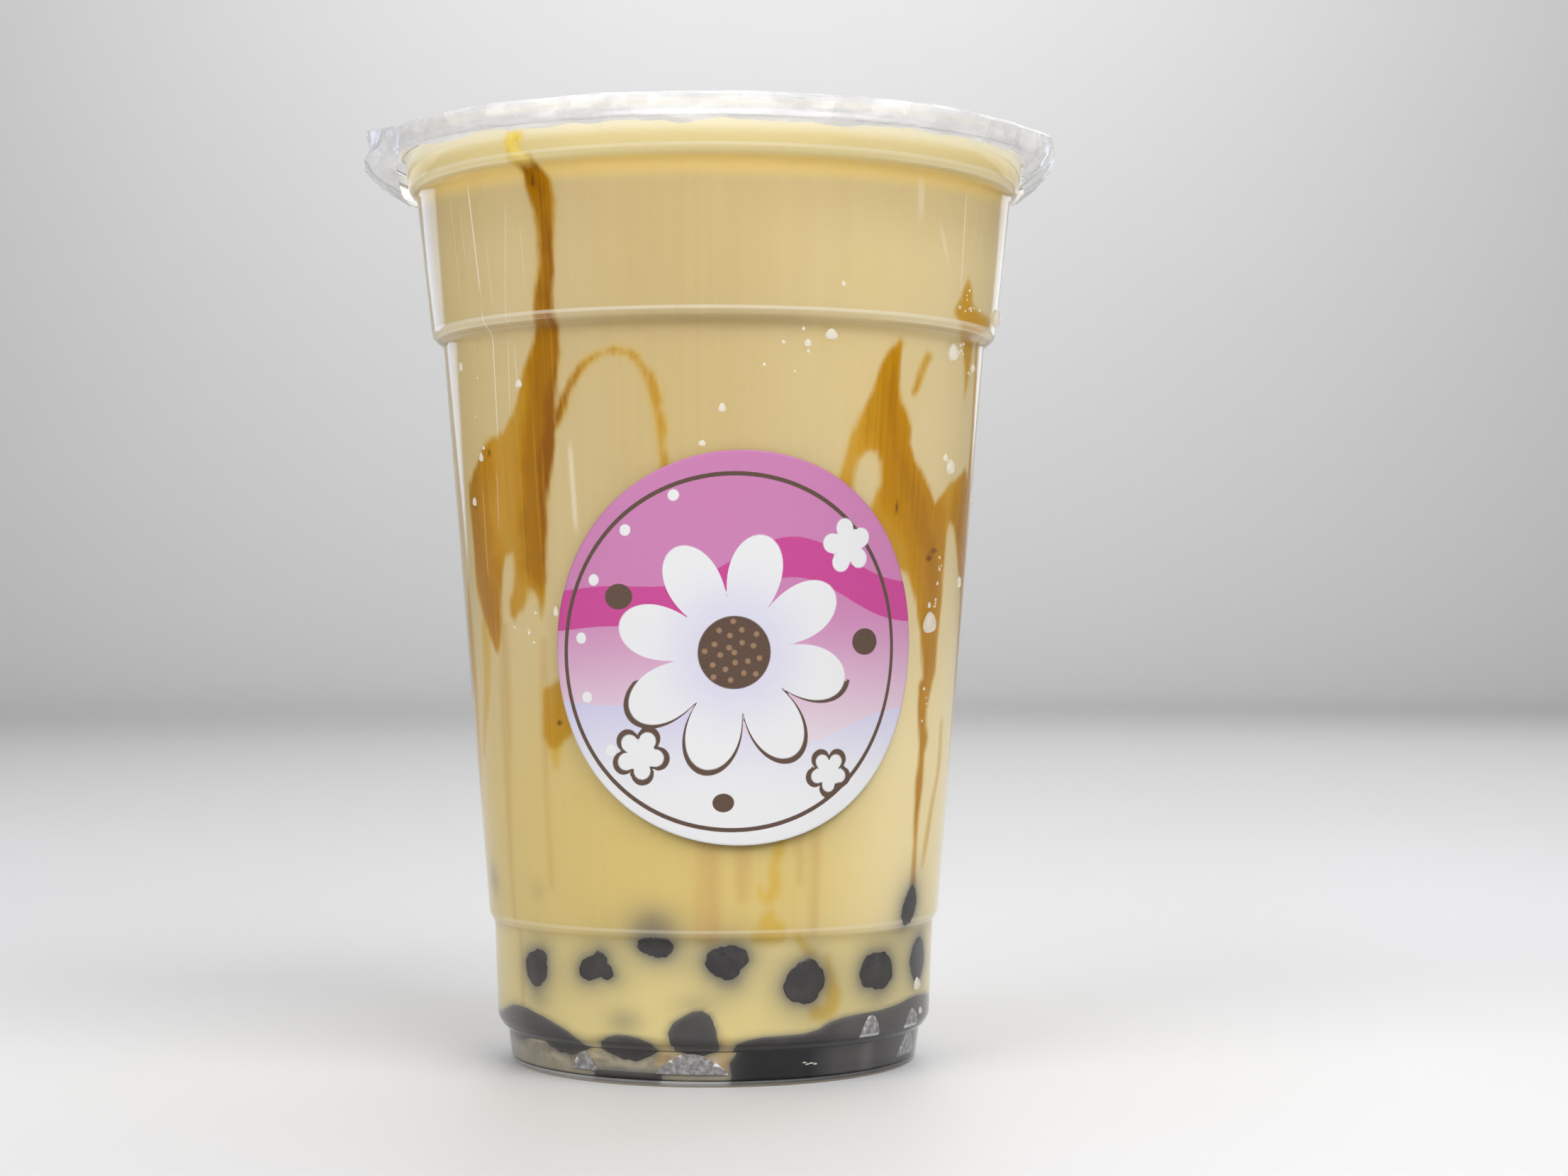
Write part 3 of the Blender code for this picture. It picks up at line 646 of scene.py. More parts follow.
def new_group(name, output, **inputs):
    """A node group with one output: its tree, inputs and output node. An input of None is a vector."""
    group = bpy.data.node_groups.new(name, "ShaderNodeTree")
    for socket, value in inputs.items():
        kind = "NodeSocketVector" if value is None else "NodeSocketFloat"
        made = group.interface.new_socket(socket, in_out="INPUT", socket_type=kind)
        if value is not None:
            made.default_value = value
    group.interface.new_socket(output, in_out="OUTPUT", socket_type="NodeSocketFloat")
    return group, group.nodes.new("NodeGroupInput").outputs, group.nodes.new("NodeGroupOutput")


def make_uneven_group():
    """A value that wanders between Low and High, for roughness and small differences of tone."""
    group, given, out = new_group("uneven", "Value", Vector=None, Scale=100.0, Low=0.0, High=1.0)
    wander = noise(group, given["Vector"], given["Scale"], 4.0, 0.6)
    group.links.new(ramp(group, wander, 0.3, 0.7, given["Low"], given["High"]), out.inputs[0])
    return group


def make_edge_group():
    """1 inside an outline and 0 outside it, from a distance in mm whose edge wobbles."""
    group, given, out = new_group("wobbling_edge", "Mask", Distance=0.0, Vector=None, Scale=400.0, Wobble=0.3,
                                  Softness=0.3)
    shake = reckon(group, "SUBTRACT", noise(group, given["Vector"], given["Scale"], 3.0), 0.5)
    moved = plus(group, given["Distance"], times(group, shake, given["Wobble"]))
    low = times(group, given["Softness"], -1.0)
    group.links.new(ramp(group, moved, low, given["Softness"], 1.0, 0.0), out.inputs[0])
    return group


UNEVEN = make_uneven_group()
WOBBLING_EDGE = make_edge_group()


def uneven(tree, vector, scale, low, high):
    return group_value(tree, UNEVEN, Vector=vector, Scale=scale, Low=low, High=high)


def group_value(tree, group, **values):
    """Place a node group and give its output."""
    return put(tree, "ShaderNodeGroup", values, node_tree=group).outputs[0]


def edge_mask(tree, distance, vector, scale, wobble, softness):
    return group_value(tree, WOBBLING_EDGE, Distance=distance, Vector=vector, Scale=scale,
                       Wobble=wobble, Softness=softness)


def finished(material, colour, roughness, bump=None, clear=None, values=None):
    """Give a material its surface: a colour, a roughness, and a bump as (strength, distance, height).

    clear is (index of refraction, transmission). The rays that look for lamps go straight through
    what is clear, so that what is inside is lit.
    """
    tree = material.node_tree
    values = {"Base Color": colour, "Metallic": 0.0, "Roughness": roughness, **(values or {})}
    if bump is not None:
        bump = dict(zip(("Strength", "Distance", "Height"), bump))
        values["Normal"] = put(tree, "ShaderNodeBump", bump).outputs[0]
    if clear is not None:
        values["IOR"], values["Transmission Weight"] = clear
    shader = put(tree, "ShaderNodeBsdfPrincipled", values).outputs[0]
    if clear is not None:
        is_shadow = put(tree, "ShaderNodeLightPath").outputs["Is Shadow Ray"]
        open_way = put(tree, "ShaderNodeBsdfTransparent").outputs[0]
        shader = put(tree, "ShaderNodeMixShader", {0: is_shadow, 1: shader, 2: open_way}).outputs[0]
    tree.links.new(shader, put(tree, "ShaderNodeOutputMaterial").inputs[0])
    return material


# Materials

def clear_plastic():
    """Thin formed plastic: nearly clear, with fine upright flow lines and a faint haze."""
    material, tree = new_material("clear_plastic")
    place = put(tree, "ShaderNodeUVMap", uv_map="wall").outputs[0]
    lines = noise(tree, scaled(tree, place, (420.0, 3.0, 1.0)), 1.0, 4.0, 0.6)
    swell = noise(tree, scaled(tree, place, (26.0, 9.0, 1.0)), 1.0, 2.0)
    height = plus(tree, times(tree, lines, 0.25), swell)
    return finished(material, (0.97, 0.975, 0.98), uneven(tree, object_place(tree), 180.0, 0.008, 0.030),
                    (0.12, 0.0004, height), clear=(1.45, 1.0), values={"Specular Tint": (0.4, 0.4, 0.4)})


def flat_film():
    """Sealing film over the drink: clear, with long soft waves."""
    material, tree = new_material("flat_film")
    place = object_place(tree)
    waves = noise(tree, scaled(tree, place, (40.0, 90.0, 40.0)), 1.0, 4.0, 0.55)
    return finished(material, (0.97, 0.97, 0.975), uneven(tree, place, 160.0, 0.03, 0.12),
                    (0.35, 0.0015, waves), clear=(1.4, 0.94))


def creased_film():
    """Sealing film on the rim and the skirt: crinkled, so it is slightly milky."""
    material, tree = new_material("creased_film")
    place = object_place(tree)
    bent = put(tree, "ShaderNodeMix", {0: 0.006, 4: place, 5: put(tree, "ShaderNodeTexNoise", {
        "Vector": place, "Scale": 90.0}).outputs["Color"]}, data_type="VECTOR").outputs[1]
    facets = put(tree, "ShaderNodeTexVoronoi", {"Vector": bent, "Scale": 210.0}).outputs["Distance"]
    creases = plus(tree, facets, times(tree, noise(tree, place, 420.0, 3.0, 0.6), 0.35))
    milk = noise(tree, scaled(tree, place, (60.0, 60.0, 260.0)), 1.0, 4.0, 0.65)
    colour = coats(tree, (0.80, 0.795, 0.805), (milk, 0.35, 0.65, 1.0, (0.94, 0.935, 0.93)))
    return finished(material, colour, uneven(tree, place, 260.0, 0.04, 0.14), (0.6, 0.0008, creases),
                    clear=(1.36, 0.50))


# Tones of the tea, the syrup in it, and what shows in the foot and at the wall's ledges; the ledge, crease
# and glint lines and the lit sides are painted light
TEA_BODY = (0.55, 0.430, 0.212)
TEA_RIDGE = (0.82, 0.60, 0.20)
TEA_YELLOW = (0.74, 0.55, 0.20)
TEA_PALE = (0.80, 0.68, 0.40)
TEA_LOW = (0.70, 0.545, 0.17)
# Painted light: the tea's lit right side
TEA_LIT_SIDE = (0.88, 0.77, 0.47)
TEA_FOOT = (0.72, 0.61, 0.285)
TEA_TOP = (0.71, 0.590, 0.29)
TEA_LIP = (0.80, 0.74, 0.56)
# Cream of every painted highlight: the ledge, crease and glint lines
PAINTED_HIGHLIGHT = (0.88, 0.84, 0.72)
SYRUP_THIN = (0.62, 0.40, 0.045)
SYRUP_LIGHT = (0.47, 0.23, 0.000)
SYRUP_BODY = (0.37, 0.160, 0.000)
SYRUP_DEEP = (0.27, 0.095, 0.000)
SYRUP_GOLD = (0.74, 0.38, 0.000)
SYRUP_FROTH = (0.84, 0.66, 0.15)
SYRUP_DARK = (0.12, 0.045, 0.002)
CLOUDED = (0.56, 0.36, 0.13)
DEEP_GREY = (0.078, 0.088, 0.120)
FOOT_HIGH = (0.50, 0.44, 0.33)
FOOT_DIM = (0.21, 0.195, 0.18)
FOOT_LOW = (0.27, 0.25, 0.235)
# Painted shade: the brown line under each step's ledge
LEDGE_SHADE = (0.36, 0.22, 0.07)
# Painted shade in the foot's crease
CREASE_SHADE = (0.02, 0.018, 0.018)

# In metres: each step's level and how strongly its ledge's painted highlight and shade lines show, and the
# heights of the crease's painted shade line and painted glint line
LEDGE_LIGHTS = ((0.1001, 0.48), (0.1203, 0.30), (0.0199, 0.26))
CREASE_SHADE_LINE = (0.0048, 0.0052)
CREASE_GLINT_LINE = (0.0053, 0.0057)


def stripe(tree, height, low, high, edge=0.00008):
    """1 between two heights, with a short way up and down at its edges."""
    up = ramp(tree, height, low - edge, low + edge)
    return times(tree, up, ramp(tree, height, high - edge, high + edge, 1.0, 0.0))


def ledge(tree, colour, height, to_sides, level, strength):
    """A step's ledge, as painted light: a painted highlight line on top, and towards the sides a second one
    under it and a brown painted shade line below.
    """
    face = times(tree, stripe(tree, height, level, level + 0.0008), ramp(tree, to_sides, 0, 1, 0.5, 0.8))
    low = times(tree, stripe(tree, height, level, level + 0.00025), to_sides)
    top = stripe(tree, height, level + 0.0005, level + 0.0009, 0.0001)
    pale = reckon(tree, "MAXIMUM", times(tree, face, 0.45), reckon(tree, "MAXIMUM", low, top))
    brown = times(tree, stripe(tree, height, level - 0.0006, level - 0.0001), to_sides)
    colour = blend(tree, times(tree, brown, 0.6 * strength), colour, LEDGE_SHADE)
    return blend(tree, times(tree, pale, strength), colour, PAINTED_HIGHLIGHT)


def glint_lines(tree, wall, height):
    """Masks of the painted glint lines, added up: each is thin round the cup and fades at both of its ends.
    """
    azimuth = reckon(tree, "MULTIPLY_ADD", put(tree, "ShaderNodeSeparateXYZ", {0: wall}).outputs[0], 360.0)
    azimuth.node.inputs[2].default_value = -180.0
    total = None
    for top, high, bottom, low, half, strength in GLINT_LINES:
        middle = ramp(tree, height, high * MM, low * MM, top, bottom, smooth=False)
        aside = reckon(tree, "ABSOLUTE", reckon(tree, "SUBTRACT", azimuth, middle))
        line = ramp(tree, aside, 2.2 * half, 0.3 * half, 0.0, strength)
        line = times(tree, line, ramp(tree, height, high * MM, high * MM - 0.003))
        line = times(tree, line, ramp(tree, height, low * MM, low * MM + 0.003))
        total = line if total is None else reckon(tree, "MAXIMUM", total, line)
    return total


def milk_tea():
    """Tan tea: yellow under the high step, greyer in the foot, with syrup, stains and grey halos, and painted
    light on its lit sides, ledges and crease and in glint lines.
    """
    material, tree = new_material("milk_tea")
    place = object_place(tree)
    wall = put(tree, "ShaderNodeUVMap", uv_map="wall").outputs[0]
    split = put(tree, "ShaderNodeSeparateXYZ", {0: place})
    sideways, height = split.outputs[0], split.outputs[2]
    cloud = noise(tree, scaled(tree, wall, (7.0, 3.0, 1.0)), 1.0, 3.0)
    strands = noise(tree, scaled(tree, wall, (150.0, 4.0, 1.0)), 1.0, 4.0, 0.65)
    hairs = noise(tree, scaled(tree, wall, (420.0, 7.0, 1.0)), 1.0, 2.0)
    haze = plus(tree, height, times(tree, cloud, 0.0016))
    # The first two tones are painted light: the tea paler towards the right and the left, where the lamps
    # light it.
    colour = coats(tree, TEA_BODY,
                   (sideways, -0.002, 0.034, 0.72, TEA_PALE), (sideways, -0.008, -0.026, 0.38, TEA_PALE),
                   (cloud, 0.40, 0.75, 0.25, TEA_YELLOW), (height, 0.108, 0.1170, 0.55, TEA_BODY),
                   (height, 0.1165, 0.1192, 0.95, TEA_RIDGE), (height, 0.1195, 0.1203, 1.0, TEA_TOP),
                   (haze, 0.1226, 0.1250, 1.0, TEA_LIP))
    swirls = coats(tree, TEA_BODY, (noise(tree, place, 70.0, 4.0, 0.6), 0.35, 0.7, 1.0, TEA_PALE))
    colour = blend(tree, field(tree, "surface"), colour, swirls)
    colour = coats(tree, colour, (height, 0.062, 0.034, 0.6, TEA_LOW))
    # Painted light: the lower right side paler, where the lamps light it and the pale floor shows in the
    # wall.
    aside = times(tree, ramp(tree, sideways, 0.010, 0.028), ramp(tree, height, 0.070, 0.040, 0.0, 0.8))
    colour = blend(tree, aside, colour, TEA_LIT_SIDE)
    colour = coats(tree, colour, (height, 0.0200, 0.0192, 0.8, TEA_FOOT))
    clots = noise(tree, scaled(tree, wall, (46.0, 110.0, 1.0)), 1.0, 4.0, 0.6)
    milk = coats(tree, FOOT_DIM, (clots, 0.42, 0.60, 1.0, FOOT_HIGH), (height, 0.0032, 0.0018, 0.8, FOOT_LOW),
                 (sideways, -0.018, -0.026, 0.7, FOOT_DIM))
    low = ramp(tree, plus(tree, height, times(tree, cloud, 0.0010)), 0.0058, 0.0044)
    colour = blend(tree, times(tree, low, 0.85), colour, milk)
    colour = coats(tree, colour, (strands, 0.3, 0.8, 0.10, TEA_PALE))
    band = edge_mask(tree, field(tree, "band"), scaled(tree, wall, (40.0, 6.0, 1.0)), 1.0, 0.8, 0.9)
    colour = blend(tree, times(tree, band, ramp(tree, strands, 0.2, 0.8, 0.35, 0.75)), colour, CLOUDED)
    stain = edge_mask(tree, field(tree, "stain"), scaled(tree, wall, (60.0, 30.0, 1.0)), 1.0, 0.9, 0.8)
    colour = blend(tree, times(tree, stain, ramp(tree, cloud, 0.2, 0.7, 0.60, 0.90)), colour, SYRUP_THIN)
    distance = field(tree, "syrup")
    mottle = noise(tree, scaled(tree, wall, (60.0, 34.0, 1.0)), 1.0, 4.0, 0.6)
    wide = edge_mask(tree, distance, scaled(tree, wall, (48.0, 22.0, 1.0)), 1.0, 1.8, 1.0)
    crisp = edge_mask(tree, distance, scaled(tree, wall, (160.0, 40.0, 1.0)), 1.0, 1.5, 0.55)
    thick = plus(tree, field(tree, "core"), times(tree, strands, 1.6))
    thick = plus(tree, thick, times(tree, reckon(tree, "SUBTRACT", mottle, 0.5), 5.0))
    syrup = coats(tree, SYRUP_LIGHT,
                  (thick, 5.2, 2.4, 1.0, SYRUP_BODY), (thick, 1.6, -0.4, 1.0, SYRUP_DEEP),
                  # Painted light: the syrup more golden towards the right and the far left, where the lamps
                  # light it.
                  (sideways, 0.002, 0.016, 0.34, SYRUP_GOLD), (sideways, -0.022, -0.031, 0.35, SYRUP_GOLD),
                  (hairs, 0.50, 0.72, 0.25, SYRUP_THIN), (hairs, 0.45, 0.25, 0.30, SYRUP_DEEP))
    froth = ramp(tree, plus(tree, height, times(tree, mottle, 0.004)), 0.1212, 0.1236)
    syrup = blend(tree, times(tree, froth, ramp(tree, mottle, 0.35, 0.55, 0.55, 1.0)), syrup, SYRUP_FROTH)
    colour = blend(tree, times(tree, wide, 0.7), colour, SYRUP_THIN)
    cover = ramp(tree, plus(tree, thick, times(tree, cloud, 3.0)), 8.5, 4.5, 0.72, 1.0)
    colour = blend(tree, times(tree, crisp, cover), colour, syrup)
    fleck = edge_mask(tree, field(tree, "fleck"), scaled(tree, wall, (300.0, 300.0, 1.0)), 1.0, 0.5, 0.25)
    colour = blend(tree, times(tree, fleck, 0.8), colour, SYRUP_DARK)
    halo = times(tree, field(tree, "halo"), ramp(tree, cloud, 0.2, 0.8, 0.85, 1.0))
    colour = blend(tree, halo, colour, DEEP_GREY)
    to_sides = ramp(tree, reckon(tree, "ABSOLUTE", sideways), 0.014, 0.034, 0.12, 1.0)
    # Painted highlight and shade lines at each step's ledge
    for level, strength in LEDGE_LIGHTS:
        colour = ledge(tree, colour, height, to_sides, level, strength)
    # Painted shade along the foot's crease, and a painted glint line just above it
    colour = blend(tree, times(tree, stripe(tree, height, *CREASE_SHADE_LINE), 0.7), colour, CREASE_SHADE)
    colour = blend(tree, times(tree, stripe(tree, height, *CREASE_GLINT_LINE), 0.2), colour, PAINTED_HIGHLIGHT)
    # Painted highlights: the glint lines
    colour = blend(tree, glint_lines(tree, wall, height), colour, PAINTED_HIGHLIGHT)
    return finished(material, colour, uneven(tree, place, 90.0, 0.32, 0.48),
                    values={"IOR": 1.34, "Specular IOR Level": 0.0})


def tapioca():
    """Cooked pearls: near black with a warm core tone, smooth and wet."""
    material, tree = new_material("tapioca")
    place = object_place(tree)
    mottle = noise(tree, place, 420.0, 4.0, 0.6)
    colour = coats(tree, (0.022, 0.020, 0.021), (mottle, 0.35, 0.75, 1.0, (0.048, 0.040, 0.038)))
    return finished(material, colour, uneven(tree, place, 300.0, 0.25, 0.45), (0.2, 0.0003, mottle))


def dark_bed():
    """Pearls and dark syrup in the foot: black, greyer and browner towards its edges, with a painted shade
    line and a painted glint line at the crease.
    """
    material, tree = new_material("dark_bed")
    place = object_place(tree)
    mottle = noise(tree, place, 260.0, 4.0, 0.6)
    height = put(tree, "ShaderNodeSeparateXYZ", {0: place}).outputs[2]
    colour = coats(tree, (0.022, 0.020, 0.023), (mottle, 0.3, 0.75, 1.0, (0.050, 0.046, 0.050)))
    colour = coats(tree, colour, (height, 0.0058, 0.0050, 0.85, (0.010, 0.009, 0.011)))
    edge = ramp(tree, field(tree, "touch"), 0.9, 0.0)
    colour = blend(tree, times(tree, edge, 0.5), colour, (0.09, 0.075, 0.06))
    colour = blend(tree, field(tree, "smear"), colour, (0.16, 0.150, 0.145))
    # Painted shade along the crease, and a painted glint line just above it
    colour = blend(tree, times(tree, stripe(tree, height, *CREASE_SHADE_LINE), 0.8), colour, (0.006, 0.006, 0.007))
    colour = blend(tree, times(tree, stripe(tree, height, *CREASE_GLINT_LINE), 0.3), colour, (0.22, 0.22, 0.23))
    return finished(material, colour, uneven(tree, place, 300.0, 0.30, 0.50),
                    values={"Specular IOR Level": 0.3})


def ring_painted_light():
    """The standing ring's painted light: grey or pale by azimuth, with a warm painted highlight line along
    its lower edge.
    """
    material, tree = new_material("ring_painted_light")
    place = object_place(tree)
    height = put(tree, "ShaderNodeSeparateXYZ", {0: place}).outputs[2]
    tone = field(tree, "tone")
    grey = put(tree, "ShaderNodeCombineXYZ", {0: tone, 1: tone, 2: tone}).outputs[0]
    colour = coats(tree, grey, (noise(tree, place, 300.0), 0.3, 0.7, 0.15, (0.3, 0.27, 0.24)))
    colour = coats(tree, colour, (height, 0.00045, 0.00025, 0.7, (0.62, 0.52, 0.38)))
    return finished(material, colour, uneven(tree, place, 300.0, 0.35, 0.50))


def caught_air():
    """Air at the wall: a painted reflection in silvery grey, with a painted highlight line along its flat
    base and painted glints.
    """
    material, tree = new_material("caught_air")
    place = object_place(tree)
    rise = field(tree, "rise")
    streaks = noise(tree, place, 1500.0, 3.0)
    # Painted reflection: silvery grey streaks, as the air mirrors what is around it
    colour = coats(tree, (0.20, 0.19, 0.195), (streaks, 0.35, 0.7, 1.0, (0.42, 0.405, 0.41)))
    amber = times(tree, ramp(tree, field(tree, "rim"), 0.16, 0.04), ramp(tree, rise, 0.55, 0.9, 0.0, 0.8))
    colour = blend(tree, amber, colour, (0.45, 0.27, 0.09))
    # Painted highlight: a white line along the flat base
    colour = coats(tree, colour, (rise, 0.17, 0.06, 1.0, (0.82, 0.81, 0.83)))
    glint = times(tree, ramp(tree, streaks, 0.56, 0.62), ramp(tree, field(tree, "rim"), 0.35, 0.1))
    colour = blend(tree, glint, colour, (0.9, 0.9, 0.9))
    return finished(material, colour, uneven(tree, place, 500.0, 0.10, 0.30))


def water():
    material, tree = new_material("water")
    place = object_place(tree)
    # Painted light: the pale cream base stands for the light that the drops gather inside them.
    return finished(material, (0.96, 0.93, 0.85), uneven(tree, place, 300.0, 0.01, 0.05),
                    (0.05, 0.0002, noise(tree, place, 700.0)), clear=(1.333, 0.55))


STICKER_PINK = (0.62, 0.22, 0.46)
STICKER_MAGENTA = (0.60, 0.055, 0.30)
STICKER_LILAC = (0.62, 0.58, 0.83)
STICKER_WHITE = (0.86, 0.86, 0.87)
STICKER_BROWN = (0.105, 0.058, 0.035)


def sticker_print():
    """Printed paper: pink and lilac waves, a white daisy with a brown heart, under a thin gloss."""
    material, tree = new_material("sticker_print")
    flat = put(tree, "ShaderNodeUVMap", uv_map="wall").outputs[0]
    fibre = noise(tree, flat, 160.0, 5.0, 0.7)
    up = field(tree, "print_up")

    def shape(name, softness=0.10):
        return edge_mask(tree, field(tree, name), flat, 90.0, 0.05, softness)

    colour = coats(tree, STICKER_PINK, (up, 9.0, -22.0, 1.0, STICKER_WHITE))
    colour = blend(tree, shape("wave_high"), colour, STICKER_MAGENTA)
    lilac = coats(tree, STICKER_LILAC, (up, -3.0, -20.0, 1.0, STICKER_WHITE))
    colour = blend(tree, shape("wave_low"), colour, lilac)
    near_heart = ramp(tree, field(tree, "from_heart"), 13.0, 3.0, 0.0, 0.55)
    shade = blend(tree, near_heart, STICKER_WHITE, STICKER_LILAC)
    colour = blend(tree, shape("rings", 0.06), colour, STICKER_BROWN)
    colour = blend(tree, shape("petals"), colour, shade)
    colour = blend(tree, shape("heart"), colour, STICKER_BROWN)
    colour = blend(tree, shape("seeds"), colour, (0.34, 0.20, 0.11))
    colour = blend(tree, shape("dots"), colour, STICKER_WHITE)
    colour = coats(tree, colour, (fibre, 0.3, 0.8, 0.06, (0.5, 0.48, 0.5)))
    return finished(material, colour, uneven(tree, flat, 40.0, 0.34, 0.50), (0.08, 0.0001, fibre),
                    values={"Specular IOR Level": 0.4})


def pale_floor():
    material, tree = new_material("pale_floor")
    place = object_place(tree)
    colour = blend(tree, noise(tree, place, 6.0, 4.0), (0.815, 0.815, 0.82), (0.825, 0.825, 0.83))
    return finished(material, colour, uneven(tree, place, 12.0, 0.52, 0.56))


# Pieces

def cup_outline():
    """One closed wall: outside up, over the rolled rim and down again inside, in millimetres."""
    outside = rounded(wall_corners(), CORNER)
    inside = rounded(mitred(wall_corners(), WALL), CORNER)
    neck_in = NECK[0] - WALL
    under = RIM_RADIUS - WALL
    rim = [outside[-1], (NECK[0] + 0.15, RIM_TOP - WALL), (under, RIM_TOP - WALL), (under, RIM_BOTTOM),
           (RIM_RADIUS, RIM_BOTTOM), (RIM_RADIUS, RIM_TOP), (neck_in + 0.1, RIM_TOP), inside[-1]]
    rim = rounded(rim, 0.8, 6)
    return np.vstack([outside[1:-1], rim, inside[::-1][1:-1]])


def make_cup(material):
    profile = cup_outline()
    piece = add_piece("cup_wall", turned(profile, CUP_COLUMNS), material,
                      layout=wall_layout(profile, CUP_COLUMNS),
                      start=(0, 0, FOOT[0][1]), end=(0, 0, FOOT[0][1] + WALL))
    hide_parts("cup")
    return piece, "clear_cup"


def eased_side():
    """The tea's side: the wall's inside with each step spread over some height, within the wall."""
    side = spaced(rounded(mitred([*wall_corners(), MOUTH], WALL - INTO_WALL), CORNER), ROW_PITCH)
    side = side[(side[:, 1] < DRINK_LEVEL) & (side[:, 0] > 2.0)]
    height = side[:, 1]
    shifts = np.linspace(-1.0, 2.2, 17)
    weights = np.exp(-((shifts - 0.6) / 0.8) ** 2)
    around = sum(wall_radius(height + shift, WALL - INTO_WALL) * weight
                 for shift, weight in zip(shifts, weights))
    eased = np.clip(around / weights.sum(), side[:, 0], wall_radius(height) - 0.15)
    side[:, 0] = np.where(height > 9.0, eased, side[:, 0])
    return side


SIDE = eased_side()


def drink_radius(height):
    return np.interp(height, SIDE[:, 1], SIDE[:, 0])


def drink_profile():
    """The tea's side, a hair into the wall, then its surface in towards the axis."""
    rim = wall_radius(DRINK_LEVEL, WALL - INTO_WALL)
    top = [(rim * share, DRINK_LEVEL) for share in (1.0, 0.99, 0.975, 0.95, 0.9, 0.8, 0.65, 0.45, 0.25, 0.1)]
    bottom = [(radius, SIDE[0][1]) for radius in (0.1, 0.5, 1.0) if radius < SIDE[0][0]]
    return np.vstack([bottom, SIDE, top])


def make_drink(material):
    profile = drink_profile()
    points = turned(profile, DRINK_COLUMNS)
    azimuth = azimuths(DRINK_COLUMNS)[None, :]
    radius, height = profile[:, :1], profile[:, 1:]
    surface = height >= DRINK_LEVEL - 1e-6
    swell = 0.10 * np.sin(np.radians(3 * azimuth)) + 0.07 * np.sin(np.radians(7 * azimuth) + radius / 6)
    points[..., 2] += np.where(surface, swell, 0.0)
    on_wall = ~surface & (height > 0.9)
    touch = bed_touch(azimuth, height, radius)
    halo = np.maximum(pearl_fog(azimuth, height, radius), np.exp(np.minimum(touch, 0.0) / 0.45) * 0.75)
    syrup = np.minimum(stroke_distance(azimuth, height, radius, SYRUP_STROKES),
                       area_distance(azimuth, height, radius, SYRUP_AREAS))
    strokes = {"core": SYRUP_CORES, "stain": STAINS, "band": BANDS}
    fields = {name: stroke_distance(azimuth, height, radius, table) for name, table in strokes.items()}
    fields |= {"syrup": syrup, "fleck": -blob_distance(azimuth, height, radius, FLECKS), "halo": halo}
    fields = {name: np.where(on_wall, values, 0.0 if name == "halo" else FAR)
              for name, values in fields.items()}
    fields["surface"] = np.where(surface, 1.0, 0.0)
    piece = add_piece("milk_tea_body", points, material, start=(0, 0, profile[0, 1]), end=(0, 0, DRINK_LEVEL),
                      layout=wall_layout(profile, DRINK_COLUMNS), fields=fields)
    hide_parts("milk_tea")
    return piece, "milk_tea"


def make_pearl(node, material):
    """A pearl pressed on the wall: rings grow over its flat face to its outline, then close round it.

    Behind the face a ring's distance from the middle is that of a ball, blended from the face's outline.
    """
    number = int(node.split("_")[1])
    radius = PEARLS[node][2]
    turn, middle, turns, edge = pearl_face(node)
    angle = 360.0 * np.arange(PEARL_COLUMNS)[None, :] / PEARL_COLUMNS
    outline = np.interp(angle, turns, edge, period=360)
    outline = outline + 0.06 * np.sin(np.radians(angle * 9 + 40 * number))
    outline = outline + 0.05 * np.sin(np.radians(angle * 14))
    first = math.asin(min(edge.mean() / radius, 0.9))
    on_face = np.linspace(0.08, 1.0, 10)[:, None]
    opening = np.linspace(first, math.pi - 0.06, PEARL_ROWS - 10)[1:, None]
    blended = np.clip((opening - first) / 0.9, 0, 1)
    body = radius * np.sin(opening) * (1 + (outline / (radius * math.sin(first)) - 1) * (1 - blended))
    away = np.vstack([on_face * outline, body])
    depth = np.vstack([0 * on_face, radius * (math.cos(first) - np.cos(opening))])
    across, up = away * np.cos(np.radians(angle)), away * np.sin(np.radians(angle))
    height = middle + up
    inner = drink_radius(height)
    reach = inner + PEARL_INTO_WALL - INTO_WALL - depth
    points = polar(reach, turn + np.degrees(across / inner), height)
    piece = add_piece(f"tapioca_{number:02d}", points[:, ::-1], material, start=points[0].mean(0),
                      end=points[-1].mean(0))
    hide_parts(node)
    return piece, "tapioca"


